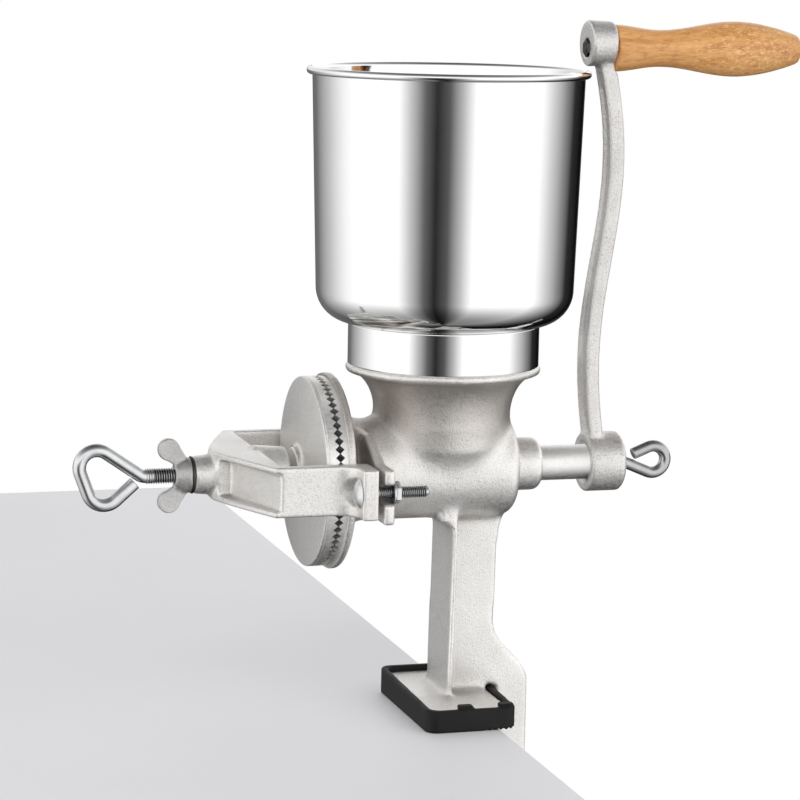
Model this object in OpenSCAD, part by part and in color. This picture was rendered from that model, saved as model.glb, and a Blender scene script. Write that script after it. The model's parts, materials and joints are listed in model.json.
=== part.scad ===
// Hand grain mill that clamps to a table: a cast body with a feed screw, two toothed burrs,
// a bridge with an adjusting screw, a loose hopper and a crank with a wooden grip.
// Sizes are in millimetres. X runs along the shaft towards the crank and Z is up.
// The origin lies on the table face, straight under the middle of the hopper.

/* [Layout] */
// Height of the shaft axis above the table face
axis_h = 131.5; // [120:0.5:150]
// Height of the body's mouth above the shaft axis
throat_h = 54.6; // [50:0.2:62]
// Distance of the fixed burr's seat from the hopper axis
seat_d = 61; // [58:0.5:70]

/* [Hopper] */
// Outer radius of the drum under its rim
drum_top_r = 70.2; // [66:0.2:76]
// Outer radius of the drum above its rounded bottom
drum_low_r = 67; // [64:0.5:70]
// Height of the drum from its floor to its rim
drum_h = 131.2; // [100:0.2:150]
// Radius of the drum's rounded bottom edge
knuckle_r = 18; // [10:0.5:20]
// Thickness of the drum's sheet
sheet = 1; // [0.8:0.1:1.4]
// Radius of the rolled rim
bead_r = 2; // [1.6:0.1:2.6]
// Outer radius of the collar under the drum
collar_r = 49.8; // [48.8:0.2:50.4]
// Height of the collar that shows above the mouth
collar_h = 22; // [14:0.5:28]
// Wall of the collar
collar_wall = 1.2; // [0.8:0.1:2]
// Height of the mouth's spigot inside the collar
spigot_h = 3.5; // [2.5:0.1:5]
// Wall of the mouth's spigot
spigot_wall = 2.4; // [1.8:0.1:3]

/* [Body] */
// Outer radius of the mouth
mouth_r = 51; // [50.6:0.1:56]
// Height of the cast lip round the mouth
lip_h = 4; // [3:0.1:6]
// Outer radius of the throat at its neck
neck_r = 35; // [32:0.5:38]
// Height of the flare from the neck to the lip
flare_h = 26; // [20:0.5:28]
// Outer radius of the barrel round the feed screw
barrel_r = 26.5; // [25:0.1:30]
// Wall of the barrel
barrel_wall = 4; // [3:0.1:5]
// Distance of the barrel's closed end from the hopper axis
barrel_end = 37; // [35:0.5:44]
// Thickness of the barrel's closed end
end_wall = 7; // [5:0.5:9]
// Outer radius of the bearing boss
boss_r = 14; // [12.5:0.1:16]
// Length of the bearing boss
boss_len = 16.4; // [12:0.2:22]
// Thickness of the bell's rim behind the fixed burr
bell_rim = 2; // [1.5:0.5:4]
// Depth of the bell's lip round the fixed burr
bell_lip = 3; // [2:0.1:3.6]
// Length of the bell's cone
bell_cone = 10.5; // [8:0.5:14]

/* [Ears] */
// Distance of the ears behind the burr seat
ear_setback = 9; // [7:0.5:11]
// Thickness of an ear
ear_t = 5.7; // [4:0.1:8]
// Height of an ear at its fork
ear_h = 28; // [24:0.5:34]
// How far an ear's middle lies below the shaft axis
ear_drop = 1.4; // [0:0.2:2]
// Width of the fork's slot
slot_w = 9; // [7:0.5:10]

/* [Leg] */
// Width of the leg's flange
leg_w = 39; // [30:1:50]
// Thickness of the leg's flange
leg_t = 2.8; // [2.6:0.2:7]
// Place of the flange's front face along the shaft, at the barrel
leg_top_x = 2; // [0:0.2:6]
// Place of the flange's front face along the shaft, at the foot
leg_low_x = 0.4; // [-4:0.2:4]
// Thickness of the leg's web and of the clamp arm
web_t = 10; // [7:0.5:14]
// Place of the web's back edge along the shaft
web_edge = 29.8; // [28:0.2:36]

/* [Foot] */
// Length of the foot plate along the shaft
foot_len = 42; // [36:1:50]
// Width of the foot plate
foot_w = 85; // [70:1:100]
// Thickness of the foot plate
foot_t = 7; // [5:0.5:10]
// Place of the foot plate's middle along the shaft
foot_x = 6; // [3:0.5:8]
// Thickness of the rubber pad under the foot plate
pad_t = 4; // [3:0.5:6]
// Wall of the rubber pad round the foot plate
pad_wall = 3.5; // [2.5:0.5:5]
// Height of the pad's lip above the foot plate, at the front
pad_lip = 0.5; // [0.3:0.1:1.5]
// Height of the pad's lip above the foot plate, at the back
pad_back_lip = 2.9; // [1.5:0.1:4]

/* [Clamp] */
// Width of the clamp arm along the shaft
arm_w = 18; // [14:0.5:24]
// Opening from the table face to the jaw
jaw_open = 56; // [50:1:70]
// Height of the jaw's screw boss
jaw_h = 18; // [14:1:24]
// Outer radius of the jaw's screw boss
jaw_r = 12; // [10:0.5:15]
// Thickness of the table that the plate is set to
table_t = 30; // [20:1:36]
// Radius of the clamp screw
clamp_screw_r = 5; // [4:0.5:6]
// Length of the clamp screw below the plate, down to its eye
clamp_screw_len = 72; // [66:1:90]
// Radius of the pressure plate
plate_r = 16; // [12:0.5:20]
// Thickness of the pressure plate
plate_t = 4; // [3:0.5:6]

/* [Burrs] */
// Outer radius of the turning burr
burr_r = 49.2; // [47:0.2:52]
// How far the bell stands out past the burrs
burr_step = 1.8; // [1.4:0.1:3]
// Gap between the fixed burr and the bell's lip
lip_gap = 0.4; // [0.3:0.1:0.6]
// Number of teeth on each burr
burr_teeth = 72; // [40:4:88]
// Height of a tooth
tooth_h = 2.2; // [1.6:0.1:3]
// Plate thickness of the fixed burr
fixed_plate_t = 4.2; // [3.5:0.1:6]
// Plate thickness of the turning burr
turning_plate_t = 3; // [2.6:0.1:4]
// Running gap between the tips of the teeth
burr_gap = 0.4; // [0.3:0.1:1]
// Radius of the opening in the fixed burr
fixed_eye_r = 24; // [23:0.5:25]
// Radius of the opening in the turning burr
turning_eye_r = 20; // [17:0.5:23]

/* [Disc carrier] */
// Thickness of the carrier at its edge
carrier_rim = 1.8; // [1.5:0.1:3]
// Height of the carrier's dome above its edge
dome_h = 2.8; // [1.5:0.1:4]
// Radius of the carrier's front hub
front_hub_r = 13; // [11:0.5:15]
// Height of the carrier's front hub above the dome
front_hub_h = 3.2; // [2.5:0.1:5]
// Radius of the carrier's rear hub
rear_hub_r = 14; // [12.5:0.5:15]
// Length of the carrier's rear hub
rear_hub_len = 12; // [10:0.5:13]
// Radius of the thrust ball
ball_r = 4; // [3:0.5:4.5]

/* [Feed screw] */
// Radius of the shaft in its bearing
shaft_r = 9.2; // [8:0.1:10]
// Radius of the feed screw's core
core_r = 10; // [9.5:0.1:12]
// Pitch of the feed screw
flight_pitch = 30; // [24:1:40]
// Thickness of the flight
flight_t = 4; // [3:0.5:6]
// Radius of the nose that carries the disc
nose_r = 9; // [7.5:0.1:10]
// Radius of the drive pin
drive_pin_r = 2.5; // [2:0.1:3]

/* [Bridge] */
// Height of the bridge
bridge_h = 25.5; // [20:0.5:28]
// Thickness of the bridge's side webs
side_t = 6; // [4.5:0.5:8]
// Thickness of the bridge's feet
bridge_foot_t = 8; // [6:0.5:10]
// Gap between the bridge's feet and the ears
foot_gap = 3; // [2:0.2:5]
// Reach of the feet past the side webs
foot_reach = 15.5; // [14:0.5:20]
// Distance of the beam's inner face from the inner boss's end
inner_boss_len = 15; // [12:0.5:20]
// Radius of the inner boss
inner_boss_r = 14.5; // [12:0.5:17]
// Depth of the beam along the shaft, at its ends
beam_end_d = 4.5; // [4:0.5:8]
// Depth of the beam along the shaft, at the boss
beam_mid_d = 24.5; // [20:0.5:26]
// Thickness of the beam's top and bottom ribs
rib_t = 3.2; // [2.6:0.2:5]
// Radius of the outer boss
outer_boss_r = 9.6; // [8.5:0.1:12]
// Length of the outer boss past the beam
outer_boss_len = 9.5; // [7:0.5:14]
// Radius of the bridge bolts
bolt_r = 3; // [2.5:0.1:3.2]
// Length of the bridge bolts
bolt_len = 36; // [33:1:44]
// Radius of the bridge bolts' domed heads
bolt_head_r = 7.6; // [6.5:0.1:7.8]

/* [Adjusting screw] */
// Radius of the adjusting screw
adjust_r = 4; // [3.5:0.1:4.5]
// Travel of the adjusting screw
adjust_travel = 2.5; // [1.5:0.1:3]
// Radius of the bent rod of the eye
adjust_eye_rod_r = 3.45; // [3:0.05:3.5]
// Reach of the eye's far bend past the thread's end
eye_reach = 25.5; // [22:0.5:30]
// Radius of the eye's two bends
eye_bend_r = 8.8; // [8:0.2:11]
// Half the distance between the eye's two bends
eye_half = 5.4; // [4:0.2:6]
// How far the eye's return bend lies nearer the thread
eye_skew = 4; // [0:0.5:5]
// Slope of the eye's return, in degrees
eye_slope = 42; // [38:1:46]
// Radius of the bend between the thread and the eye
eye_neck_r = 7; // [5:0.5:9]
// Length of thread between the lock nut and the eye
adjust_thread_show = 14.5; // [12:0.5:20]
// Thickness of the lock washer
washer_t = 1; // [0.6:0.1:2]
// Length of the wing nut
wing_nut_len = 8.5; // [7:0.5:12]
// Distance of the wing's round end from the axis
wing_reach = 13.5; // [11:0.5:16]
// Radius of the wing's round end
wing_r = 5.7; // [4.5:0.1:6.5]
// How far the wings lean out along the screw
wing_lean = 11.2; // [8:0.2:13]
// Thickness of the wings
wing_t = 4.5; // [3:0.5:6]

/* [Crank] */
// Distance from the shaft axis to the grip axis
crank_len = 218.7; // [180:0.1:240]
// Clearance between the hopper's rim and the crank
crank_clear = 1.6; // [1:0.1:6]
// How far the arm's middle lies past the middle of the grip's boss
arm_set = 4.6; // [3:0.2:6]
// Sideways sway of the arm's curve
arm_sway = 5.7; // [4:0.1:6]
// Lean of the arm's top end towards the boss
arm_lean = 3; // [2:0.2:4]
// Thickness of the arm along the shaft, at the hub
arm_low_t = 7.4; // [6:0.2:10]
// Thickness of the arm along the shaft, at the grip
arm_top_t = 8.8; // [6:0.2:10]
// Width of the arm at the hub
arm_low_w = 16.5; // [12:0.5:20]
// Width of the arm at the grip
arm_top_w = 11; // [9:0.5:14]
// Depth of the groove along the arm
arm_groove = 2; // [1:0.1:2.2]
// Outer radius of the crank's hub
hub_r = 15.8; // [14:0.1:18]
// Length of the crank's hub
hub_len = 19.8; // [15:0.2:24]
// How far the hub's middle lies past the arm's middle
hub_set = 2.6; // [1:0.2:4]
// Outer radius of the boss at the grip
grip_boss_r = 12; // [10:0.2:13]
// Length of the boss at the grip
grip_boss_len = 14; // [12:0.5:18]
// How far the boss's middle lies above the grip's axis
boss_rise = 2.4; // [0:0.2:3]
// Radius of the eye screw's bent rod
crank_eye_rod_r = 3.1; // [2.5:0.1:3.2]
// Reach of the crank eye's bend past the hub
crank_eye_reach = 19.4; // [17:0.2:22]
// Radius of the crank eye's bend
crank_eye_bend_r = 7.2; // [6.5:0.1:8]
// Radius of the bend between the crank eye and its shank
crank_eye_neck_r = 4; // [3.5:0.1:5]
// Slope of the crank eye's return, in degrees
crank_eye_slope = 22; // [18:1:26]

/* [Grip] */
// Length of the wooden grip
grip_len = 104; // [80:0.5:120]
// Radius of the grip at the crank
grip_start_r = 12.2; // [11:0.1:14]
// Radius of the grip's waist
grip_waist_r = 9.6; // [8.5:0.1:11]
// Radius of the grip's belly
grip_belly_r = 14.5; // [12:0.1:18]
// Radius of the grip's far end
grip_end_r = 7.4; // [7.3:0.1:10]
// Radius of the grip's spindle
spindle_r = 3.5; // [3:0.1:4]

/* [Fits] */
// Radial clearance of a turning shaft or screw
run_fit = 0.06; // [0.02:0.01:0.1]
// Clearance of parts that are pushed together by hand
slip_fit = 0.3; // [0.2:0.05:0.4]
// Clearance of parts that are fixed together
fixed_fit = 0.05; // [0.02:0.01:0.1]

/* [Hidden] */
$fn = 64;

cast = [0.66, 0.645, 0.62];
polished = [0.86, 0.86, 0.86];
zinc = [0.74, 0.75, 0.76];
dark_steel = [0.22, 0.21, 0.2];
wood = [0.78, 0.5, 0.22];
rubber = [0.06, 0.06, 0.065];

// Small overlap that makes a cut pass clean through a face
cut = 1;
// Steps of a curved profile
steps = 10;

// Heights
mouth_z = axis_h + throat_h;
drum_z0 = mouth_z + collar_h;
drum_z1 = drum_z0 + drum_h;
neck_z = mouth_z - lip_h - flare_h;
foot_z0 = pad_t;
foot_z1 = foot_z0 + foot_t;

// Radii that follow from others
bore_r = barrel_r - barrel_wall;
bell_r = burr_r + burr_step;
rim_r = drum_top_r + 2 * bead_r - sheet;
flight_gap = 0.7;
flight_r = bore_r - flight_gap;
eye_screw_r = crank_eye_rod_r - 0.1;
eye_screw_deep = 14;
shaft_flat = shaft_r - 2;

// Stations along the shaft, from the fixed burr's seat out to the adjusting screw's eye
seat_x = -seat_d;
fixed_face_x = seat_x - fixed_plate_t;
fixed_tip_x = fixed_face_x - tooth_h;
turning_tip_x = fixed_tip_x - burr_gap;
turning_face_x = turning_tip_x - tooth_h;
carrier_back_x = turning_face_x - turning_plate_t;
carrier_edge_x = carrier_back_x - carrier_rim;
dome_x = carrier_edge_x - dome_h;
front_hub_x = dome_x - front_hub_h;
rear_hub_x = carrier_back_x + rear_hub_len;
drive_pin_x = carrier_back_x + rear_hub_len / 2;
ball_x = front_hub_x;
touch = 0.05;
adjust_tip_x = ball_x - ball_r - touch;
boss_gap = 1;
inner_boss_x = front_hub_x - adjust_travel - boss_gap;
beam_in_x = inner_boss_x - inner_boss_len;
outer_boss_x = beam_in_x - beam_mid_d - outer_boss_len;
nut_x = outer_boss_x - washer_t;
adjust_eye_x = nut_x - wing_nut_len - adjust_thread_show;

// Stations along the shaft on the crank side
bore_end_x = barrel_end - end_wall;
boss_x = barrel_end + boss_len;
grip_boss_x = rim_r + crank_clear;
arm_x = grip_boss_x + grip_boss_len / 2 + arm_set;
hub_x0 = arm_x - hub_len / 2 + hub_set;
hub_x1 = hub_x0 + hub_len;
hub_floor = 5;
hub_gap = 0.2;
shaft_end_x = hub_x1 - hub_floor - hub_gap;
grip_gap = 0.4;
grip_x0 = grip_boss_x + grip_boss_len + grip_gap;
grip_x1 = grip_x0 + grip_len;
grip_z = axis_h + crank_len;
grip_boss_z = grip_z + boss_rise;

// Ears and bridge across the shaft
ear_x0 = seat_x + ear_setback;
ear_x1 = ear_x0 + ear_t;
side_gap = 1.3;
side_in_y = bell_r + side_gap;
side_out_y = side_in_y + side_t;
foot_out_y = side_out_y + foot_reach;
bolt_y = side_out_y + foot_reach / 2;
bridge_foot_x1 = ear_x0 - foot_gap;
bridge_foot_x0 = bridge_foot_x1 - bridge_foot_t;
washer_r = slot_w / 2 + 2;
bolt_washer_t = 0.8;
nut_t = 3.2;
nut_flats = 10;

// Burr screws
burr_screw_r = 2;
burr_screw_head_r = 3.5;
burr_screw_head_h = 2;
screw_sunk = 0.2;
burr_screw_d = 28.5;
fixed_screw_deep = 5;
turning_screw_deep = 2.6;

// Grip's spindle
spindle_end_r = spindle_r - 0.5;
spindle_nut_r = spindle_r + 1.3;
spindle_nut_t = 3;
spindle_head_r = spindle_r + 1.9;
spindle_head_h = 2.4;

// Clamp
clamp_x = foot_x;
foot_x1 = foot_x + foot_len / 2;
pad_out_x = foot_x1 + pad_wall + fixed_fit;
arm_gap = 1;
arm_x0 = pad_out_x + arm_gap;
arm_x1 = arm_x0 + arm_w;
jaw_z = -jaw_open;
plate_top_z = -table_t;
tip_r = clamp_screw_r - 1.2;
tip_len = 5;
plate_hub_h = 5;
clamp_eye_z = plate_top_z - plate_t - clamp_screw_len;

// Place on a quarter ellipse that runs from the neck of a flare to its lip
function flare(r0, r1, z0, h, t) = [r1 - (r1 - r0) * cos(90 * t), z0 + h * sin(90 * t)];

// Round arc in the plane, from angle a0 to a1
function arc(c, r, a0, a1, n = steps) =
    [for (i = [0 : n]) c + r * [cos(a0 + (a1 - a0) * i / n), sin(a0 + (a1 - a0) * i / n)]];

// Smooth step from 0 to 1
function ease(t) = (1 - cos(180 * t)) / 2;

// Shapes on the shaft: their Z axis turns to +X
module on_shaft(x = 0) {
    translate([x, 0, axis_h]) rotate([0, 90, 0]) children();
}

// Outline in the XZ plane, given a thickness across Y
module across(t) {
    translate([0, t / 2, 0]) rotate([90, 0, 0]) linear_extrude(t) children();
}

// Outline in the YZ plane, given a thickness along X
module along(x0, t) {
    translate([x0, 0, 0]) rotate([90, 0, 90]) linear_extrude(t) children();
}

// Rectangle with round corners, about the origin
module round_rect(w, h, r) {
    square([w - 2 * r, h], center = true);
    square([w, h - 2 * r], center = true);
    for (x = [-1, 1], y = [-1, 1]) translate([x * (w / 2 - r), y * (h / 2 - r)]) circle(r);
}

// Middle line of an eye bent from rod, in the XY plane: each entry is a place and a heading.
// It leaves the origin along +X, rises, goes round two bends and comes back to just under itself.
function eye_line(r, reach, bend_r, half, skew, slope, neck_r) =
    let (
        rise = asin((bend_r + neck_r) / norm([reach, neck_r - half])) - atan2(neck_r - half, reach),
        lean = half > 0 ? atan(skew / (2 * half)) : 0,
        far = [reach, half],
        near = [reach - skew, -half],
        out = neck_r * [sin(rise), 1 - cos(rise)],
        back = near - bend_r * [sin(slope), cos(slope)],
        heading = [-cos(slope), sin(slope)],
        under = [sin(rise), -cos(rise)],
        corner = back + r * [sin(slope), cos(slope)] - out,
        run = (r + slip_fit - corner * under) / (heading * under),
        end = back + run * heading
    ) concat(
        [[-r, 0, 0]],
        [for (i = [0 : 4]) let (t = rise * i / 4) [neck_r * sin(t), neck_r * (1 - cos(t)), t]],
        [for (i = [0 : 9]) let (t = 90 + rise - (90 + rise + lean) * i / 9)
            [far.x + bend_r * cos(t), far.y + bend_r * sin(t), t - 90]],
        [for (i = [0 : 9]) let (t = -lean - (90 + slope - lean) * i / 9)
            [near.x + bend_r * cos(t), near.y + bend_r * sin(t), t - 90]],
        [[end.x, end.y, -180 - slope]]
    );

// Rod of radius r bent along a middle line
module bent_rod(r, line) {
    sides = 14;
    n = len(line);
    points = [for (q = line, j = [0 : sides - 1])
        let (t = 360 * j / sides) [q.x - sin(q.z) * r * cos(t), q.y + cos(q.z) * r * cos(t), r * sin(t)]];
    walls = [for (i = [0 : n - 2], j = [0 : sides - 1], second = [0, 1])
        let (a = sides * i + j, b = sides * i + (j + 1) % sides, c = a + sides, d = b + sides)
        second == 0 ? [a, c, b] : [b, c, d]];
    polyhedron(points, concat(walls,
        [[for (j = [0 : sides - 1]) j], [for (j = [sides - 1 : -1 : 0]) sides * (n - 1) + j]]));
}

// Hexagonal nut along +Z with a bore
module hex_nut(flats, h, bore) {
    difference() {
        cylinder(r = flats / 2 / cos(30), h = h, $fn = 6);
        translate([0, 0, -cut]) cylinder(r = bore, h = h + 2 * cut);
    }
}

// Countersunk screw along +Z, with its head's top at the origin and a screwdriver slot
module countersunk(r, head_r, head_h, l) {
    difference() {
        rotate_extrude() polygon([[0, 0], [head_r, 0], [head_r, 0.4], [r, head_h], [r, l], [0, l]]);
        translate([-head_r, -0.5, -cut]) cube([2 * head_r, 1, cut + 0.8]);
    }
}

// Two places for burr screws, on the shaft at station x
module at_burr_screws(x) {
    for (s = [-1, 1]) translate([x, s * burr_screw_d, axis_h]) rotate([0, 90, 0]) children();
}

// Two places for bridge bolts, on the shaft at station x
module at_bolts(x) {
    for (s = [-1, 1]) translate([x, s * bolt_y, axis_h]) rotate([0, 90, 0]) children();
}

// Throat: a trumpet that opens from the barrel to the lip of the mouth, with a spigot for the collar
module throat_outside() {
    lip_edge = 1.2;
    edge = 0.6;
    spigot_r = collar_r - collar_wall - slip_fit;
    top_z = mouth_z + spigot_h;
    rotate_extrude() polygon(concat(
        [[0, axis_h], [barrel_r - 2, axis_h], [neck_r - 2, neck_z - 12]],
        [for (i = [0 : steps]) flare(neck_r, mouth_r - lip_edge, neck_z, flare_h, i / steps)],
        arc([mouth_r - lip_edge, mouth_z - lip_h + lip_edge], lip_edge, -90, 0, 4),
        [[mouth_r, mouth_z - edge], [mouth_r - edge, mouth_z], [spigot_r, mouth_z],
            [spigot_r, top_z - edge], [spigot_r - edge, top_z], [0, top_z]]
    ));
}

// Way for the grain: the funnel and the hole into the barrel
module throat_inside() {
    mouth_in = collar_r - collar_wall - slip_fit - spigot_wall;
    neck_in = bore_r - 1;
    funnel_z = neck_z - 10;
    top_z = mouth_z + spigot_h;
    rotate_extrude() polygon(concat(
        [[0, axis_h], [neck_in, axis_h]],
        [for (i = [0 : steps]) flare(neck_in, mouth_in, funnel_z, top_z - funnel_z, i / steps)],
        [[mouth_in, top_z + cut], [0, top_z + cut]]
    ));
}

// Barrel with the bell for the fixed burr at one end and the bearing boss at the other
module barrel_outside() {
    lip_x = seat_x - bell_lip;
    cone_x0 = seat_x + bell_rim;
    edge = 0.4;
    round_r = 6;
    taper = 2.4;
    on_shaft() rotate_extrude() polygon(concat(
        [[0, lip_x], [bell_r - edge, lip_x], [bell_r, lip_x + edge], [bell_r, cone_x0 - 1],
            [bell_r - 1, cone_x0]],
        [for (i = [1 : steps]) [barrel_r + (bell_r - 1 - barrel_r) * (1 - sin(90 * i / steps)),
            cone_x0 + bell_cone * (1 - cos(90 * i / steps)) * 1.3]],
        arc([barrel_r - round_r, barrel_end - round_r], round_r, 0, 90, 6),
        [[boss_r + 1.5, barrel_end], [boss_r, barrel_end + 1.5], [boss_r, boss_x - taper],
            [boss_r - taper, boss_x], [0, boss_x]]
    ));
}

// Forked ears that the bridge bolts pass through, as one plate behind the bell
module ears() {
    inner_y = bell_r - 17;
    inner_h = ear_h + 20;
    ear_top = ear_h / 2 - ear_drop;
    ear_low = -ear_h / 2 - ear_drop;
    along(ear_x0, ear_t) difference() {
        translate([0, axis_h]) polygon([
            [-foot_out_y, ear_low], [-side_out_y + 2, ear_low], [-inner_y, -inner_h / 2 + 6],
            [inner_y, -inner_h / 2 + 6], [side_out_y - 2, ear_low], [foot_out_y, ear_low],
            [foot_out_y, ear_top], [side_out_y - 2, ear_top], [inner_y, inner_h / 2],
            [-inner_y, inner_h / 2], [-side_out_y + 2, ear_top], [-foot_out_y, ear_top]
        ]);
        for (s = [-1, 1]) translate([s * bolt_y, axis_h]) {
            circle(d = slot_w);
            translate([s * foot_reach / 2, 0]) square([foot_reach, slot_w], center = true);
        }
    }
}

// Leg: a flange that faces the burr side, flared at the foot and under the barrel
module leg_flange() {
    barrel_low = axis_h - barrel_r;
    top_z = barrel_low + 10;
    flare_low = 4;
    flare_top = 7;
    across(leg_w) polygon(concat(
        [[leg_low_x - flare_low, foot_z1 - cut], [leg_low_x - flare_low, foot_z1]],
        [for (i = [0 : steps]) [leg_low_x - flare_low * (1 - sin(90 * i / steps)),
            foot_z1 + flare_low * (1 - cos(90 * i / steps))]],
        [for (i = [0 : steps]) [leg_top_x - flare_top * (1 - cos(90 * i / steps)),
            barrel_low - flare_top * (1 - sin(90 * i / steps))]],
        [[leg_top_x - flare_top, top_z], [leg_top_x + leg_t, top_z], [leg_low_x + leg_t, foot_z1 - cut]]
    ));
}

// Web of the leg, which sweeps out past the table's edge and down into the clamp arm and jaw
module web_and_arm() {
    top_z = axis_h - barrel_r;
    sweep_z0 = foot_z1 + 36;
    sweep_z1 = foot_z1 + 4;
    notch_z = foot_z1 + max(pad_lip, pad_back_lip) - 0.6;
    jaw_low = jaw_z - jaw_h;
    jaw_round = 14;
    throat_round = 8;
    across(web_t) polygon(concat(
        [[leg_low_x + 1, foot_z1 - cut], [leg_top_x + 1, top_z + 6], [barrel_end - 1, top_z + 6],
            [web_edge + 4, top_z], [web_edge + 2, top_z - 6], [web_edge + 0.8, top_z - 18]],
        [for (i = [0 : steps]) [web_edge + (arm_x1 - web_edge) * ease(i / steps),
            sweep_z0 + (sweep_z1 - sweep_z0) * i / steps]],
        arc([arm_x1 - jaw_round, jaw_low + jaw_round], jaw_round, 0, -90, 6),
        [[clamp_x, jaw_low], [clamp_x, jaw_z]],
        arc([arm_x0 - throat_round, jaw_z + throat_round], throat_round, -90, 0, 6),
        [[arm_x0, notch_z - 1], [arm_x0 - 1, notch_z], [foot_x1 - 1, notch_z], [foot_x1 - 1, foot_z1 - cut]]
    ));
}

module foot_plate() {
    translate([foot_x, 0, foot_z0]) linear_extrude(foot_t) round_rect(foot_len, foot_w, 5);
}

module body() {
    color(cast) difference() {
        union() {
            throat_outside();
            barrel_outside();
            ears();
            leg_flange();
            web_and_arm();
            foot_plate();
            translate([clamp_x, 0, jaw_z - jaw_h]) cylinder(r = jaw_r, h = jaw_h);
        }
        throat_inside();
        on_shaft(seat_x - bell_lip - cut) cylinder(r = burr_r + lip_gap, h = bell_lip + cut);
        on_shaft(seat_x - cut) cylinder(r = bore_r, h = bore_end_x - seat_x + cut);
        on_shaft(bore_end_x - cut) cylinder(r = shaft_r + run_fit, h = boss_x - bore_end_x + 2 * cut);
        at_burr_screws(seat_x - cut) cylinder(r = burr_screw_r + fixed_fit, h = fixed_screw_deep + 2 * cut);
        translate([clamp_x, 0, jaw_z - jaw_h - cut])
            cylinder(r = clamp_screw_r + run_fit, h = jaw_h + 2 * cut);
    }
}

// Rubber tray under the foot plate, with a lip that rises to the back, two tabs that hook over
// the plate and a ribbed underside
module foot_pad() {
    wall = pad_wall + fixed_fit;
    out_l = foot_len + 2 * wall;
    out_w = foot_w + 2 * wall;
    rib_pitch = 3;
    rib_deep = 0.9;
    tab_t = 2.2;
    color(rubber) difference() {
        union() {
            difference() {
                intersection() {
                    translate([foot_x, 0, 0]) linear_extrude(foot_z1 + pad_back_lip)
                        round_rect(out_l, out_w, 7);
                    along(foot_x - out_l, 2 * out_l) polygon([
                        [-out_w / 2 - cut, -cut], [out_w / 2 + cut, -cut],
                        [out_w / 2 + cut, foot_z1 + pad_back_lip], [-out_w / 2 - cut, foot_z1 + pad_lip]
                    ]);
                }
                translate([foot_x, 0, pad_t]) linear_extrude(foot_t + pad_back_lip + cut)
                    round_rect(foot_len + 2 * fixed_fit, foot_w + 2 * fixed_fit, 5 + fixed_fit);
            }
            for (x = [foot_x - 3, foot_x1 - 2])
                translate([x, -foot_w / 2 + 1, foot_z1]) linear_extrude(tab_t) round_rect(8, 5, 1);
        }
        for (i = [0 : 5])
            translate([foot_x1 + wall - 1.5 - i * rib_pitch, 0, 0])
                rotate([90, 0, 0]) cylinder(r = rib_deep, h = out_w + cut, center = true);
    }
}

// Spun drum: a rolled rim, a slightly tapered wall and a rounded bottom with an outlet
module hopper_drum() {
    knuckle = [drum_low_r - knuckle_r, drum_z0 + knuckle_r];
    bead = [drum_top_r + bead_r - sheet, drum_z1 - bead_r];
    outlet = collar_r - collar_wall - 1;
    color(polished) rotate_extrude($fn = 96) polygon(concat(
        [[outlet, drum_z0]],
        arc(knuckle, knuckle_r, -90, 0),
        [[drum_top_r, bead.y - bead_r]],
        arc(bead, bead_r, -120, 180, 14),
        arc(knuckle, knuckle_r - sheet, 0, -90),
        [[outlet, drum_z0 + sheet]]
    ));
}

// Straight collar under the drum, which slips over the mouth's spigot
module hopper_collar() {
    inner = collar_r - collar_wall;
    edge = 0.5;
    color(polished) rotate_extrude($fn = 96) polygon([
        [inner, mouth_z], [collar_r - edge, mouth_z], [collar_r, mouth_z + edge],
        [collar_r, drum_z0], [inner, drum_z0]
    ]);
}

// Toothed ring along +Z from its back: a grinding zone of radial teeth outside a coarse feed zone.
// Its face is a height field over rings of points, with a tooth's tip at every second point.
module burr_ring(eye_r, zone_r, out_r, plate_t) {
    n = 2 * burr_teeth;
    rib_every = 18;
    function tip(k) = plate_t + (k % 2 == 0 ? tooth_h : 0);
    function feed(k) = plate_t + (k % rib_every < 2 ? tooth_h * 0.4 : 0);
    function ring(r, h) = [for (k = [0 : n - 1]) [r * cos(360 * k / n), r * sin(360 * k / n), h[k]]];
    flat = [for (k = [0 : n - 1]) 0];
    fine = [for (k = [0 : n - 1]) tip(k)];
    coarse = [for (k = [0 : n - 1]) feed(k)];
    rings = [ring(eye_r, flat), ring(eye_r, coarse), ring(zone_r, fine), ring(out_r, fine),
        ring(out_r, flat)];
    m = len(rings);
    points = [for (r = rings, p = r) p];
    faces = [for (j = [0 : m - 1], k = [0 : n - 1], half = [0, 1])
        let (next = (k + 1) % n, up = ((j + 1) % m) * n, a = j * n + k, b = j * n + next)
        half == 0 ? [a, b, up + k] : [b, up + next, up + k]];
    polyhedron(points, faces);
}

// Room for a countersunk burr screw, along +Z from a burr's face
module screw_room(plate_t) {
    sink = 0.6;
    translate([0, 0, -cut]) cylinder(r = burr_screw_head_r + fixed_fit, h = cut + sink);
    translate([0, 0, sink - touch])
        cylinder(r1 = burr_screw_head_r + fixed_fit, r2 = burr_screw_r + fixed_fit,
            h = burr_screw_head_h - 0.4);
    cylinder(r = burr_screw_r + fixed_fit, h = plate_t + cut);
}

// Fixed burr, seated on the bell with its teeth towards the disc
module fixed_burr() {
    color(cast) difference() {
        translate([seat_x, 0, axis_h]) rotate([0, -90, 0])
            burr_ring(fixed_eye_r, burr_screw_d + burr_screw_head_r + 1, burr_r, fixed_plate_t);
        at_burr_screws(fixed_face_x) screw_room(fixed_plate_t);
    }
}

module fixed_burr_screws() {
    color(zinc) at_burr_screws(fixed_face_x + screw_sunk)
        countersunk(burr_screw_r, burr_screw_head_r, burr_screw_head_h,
            fixed_plate_t - screw_sunk + fixed_screw_deep);
}

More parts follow.
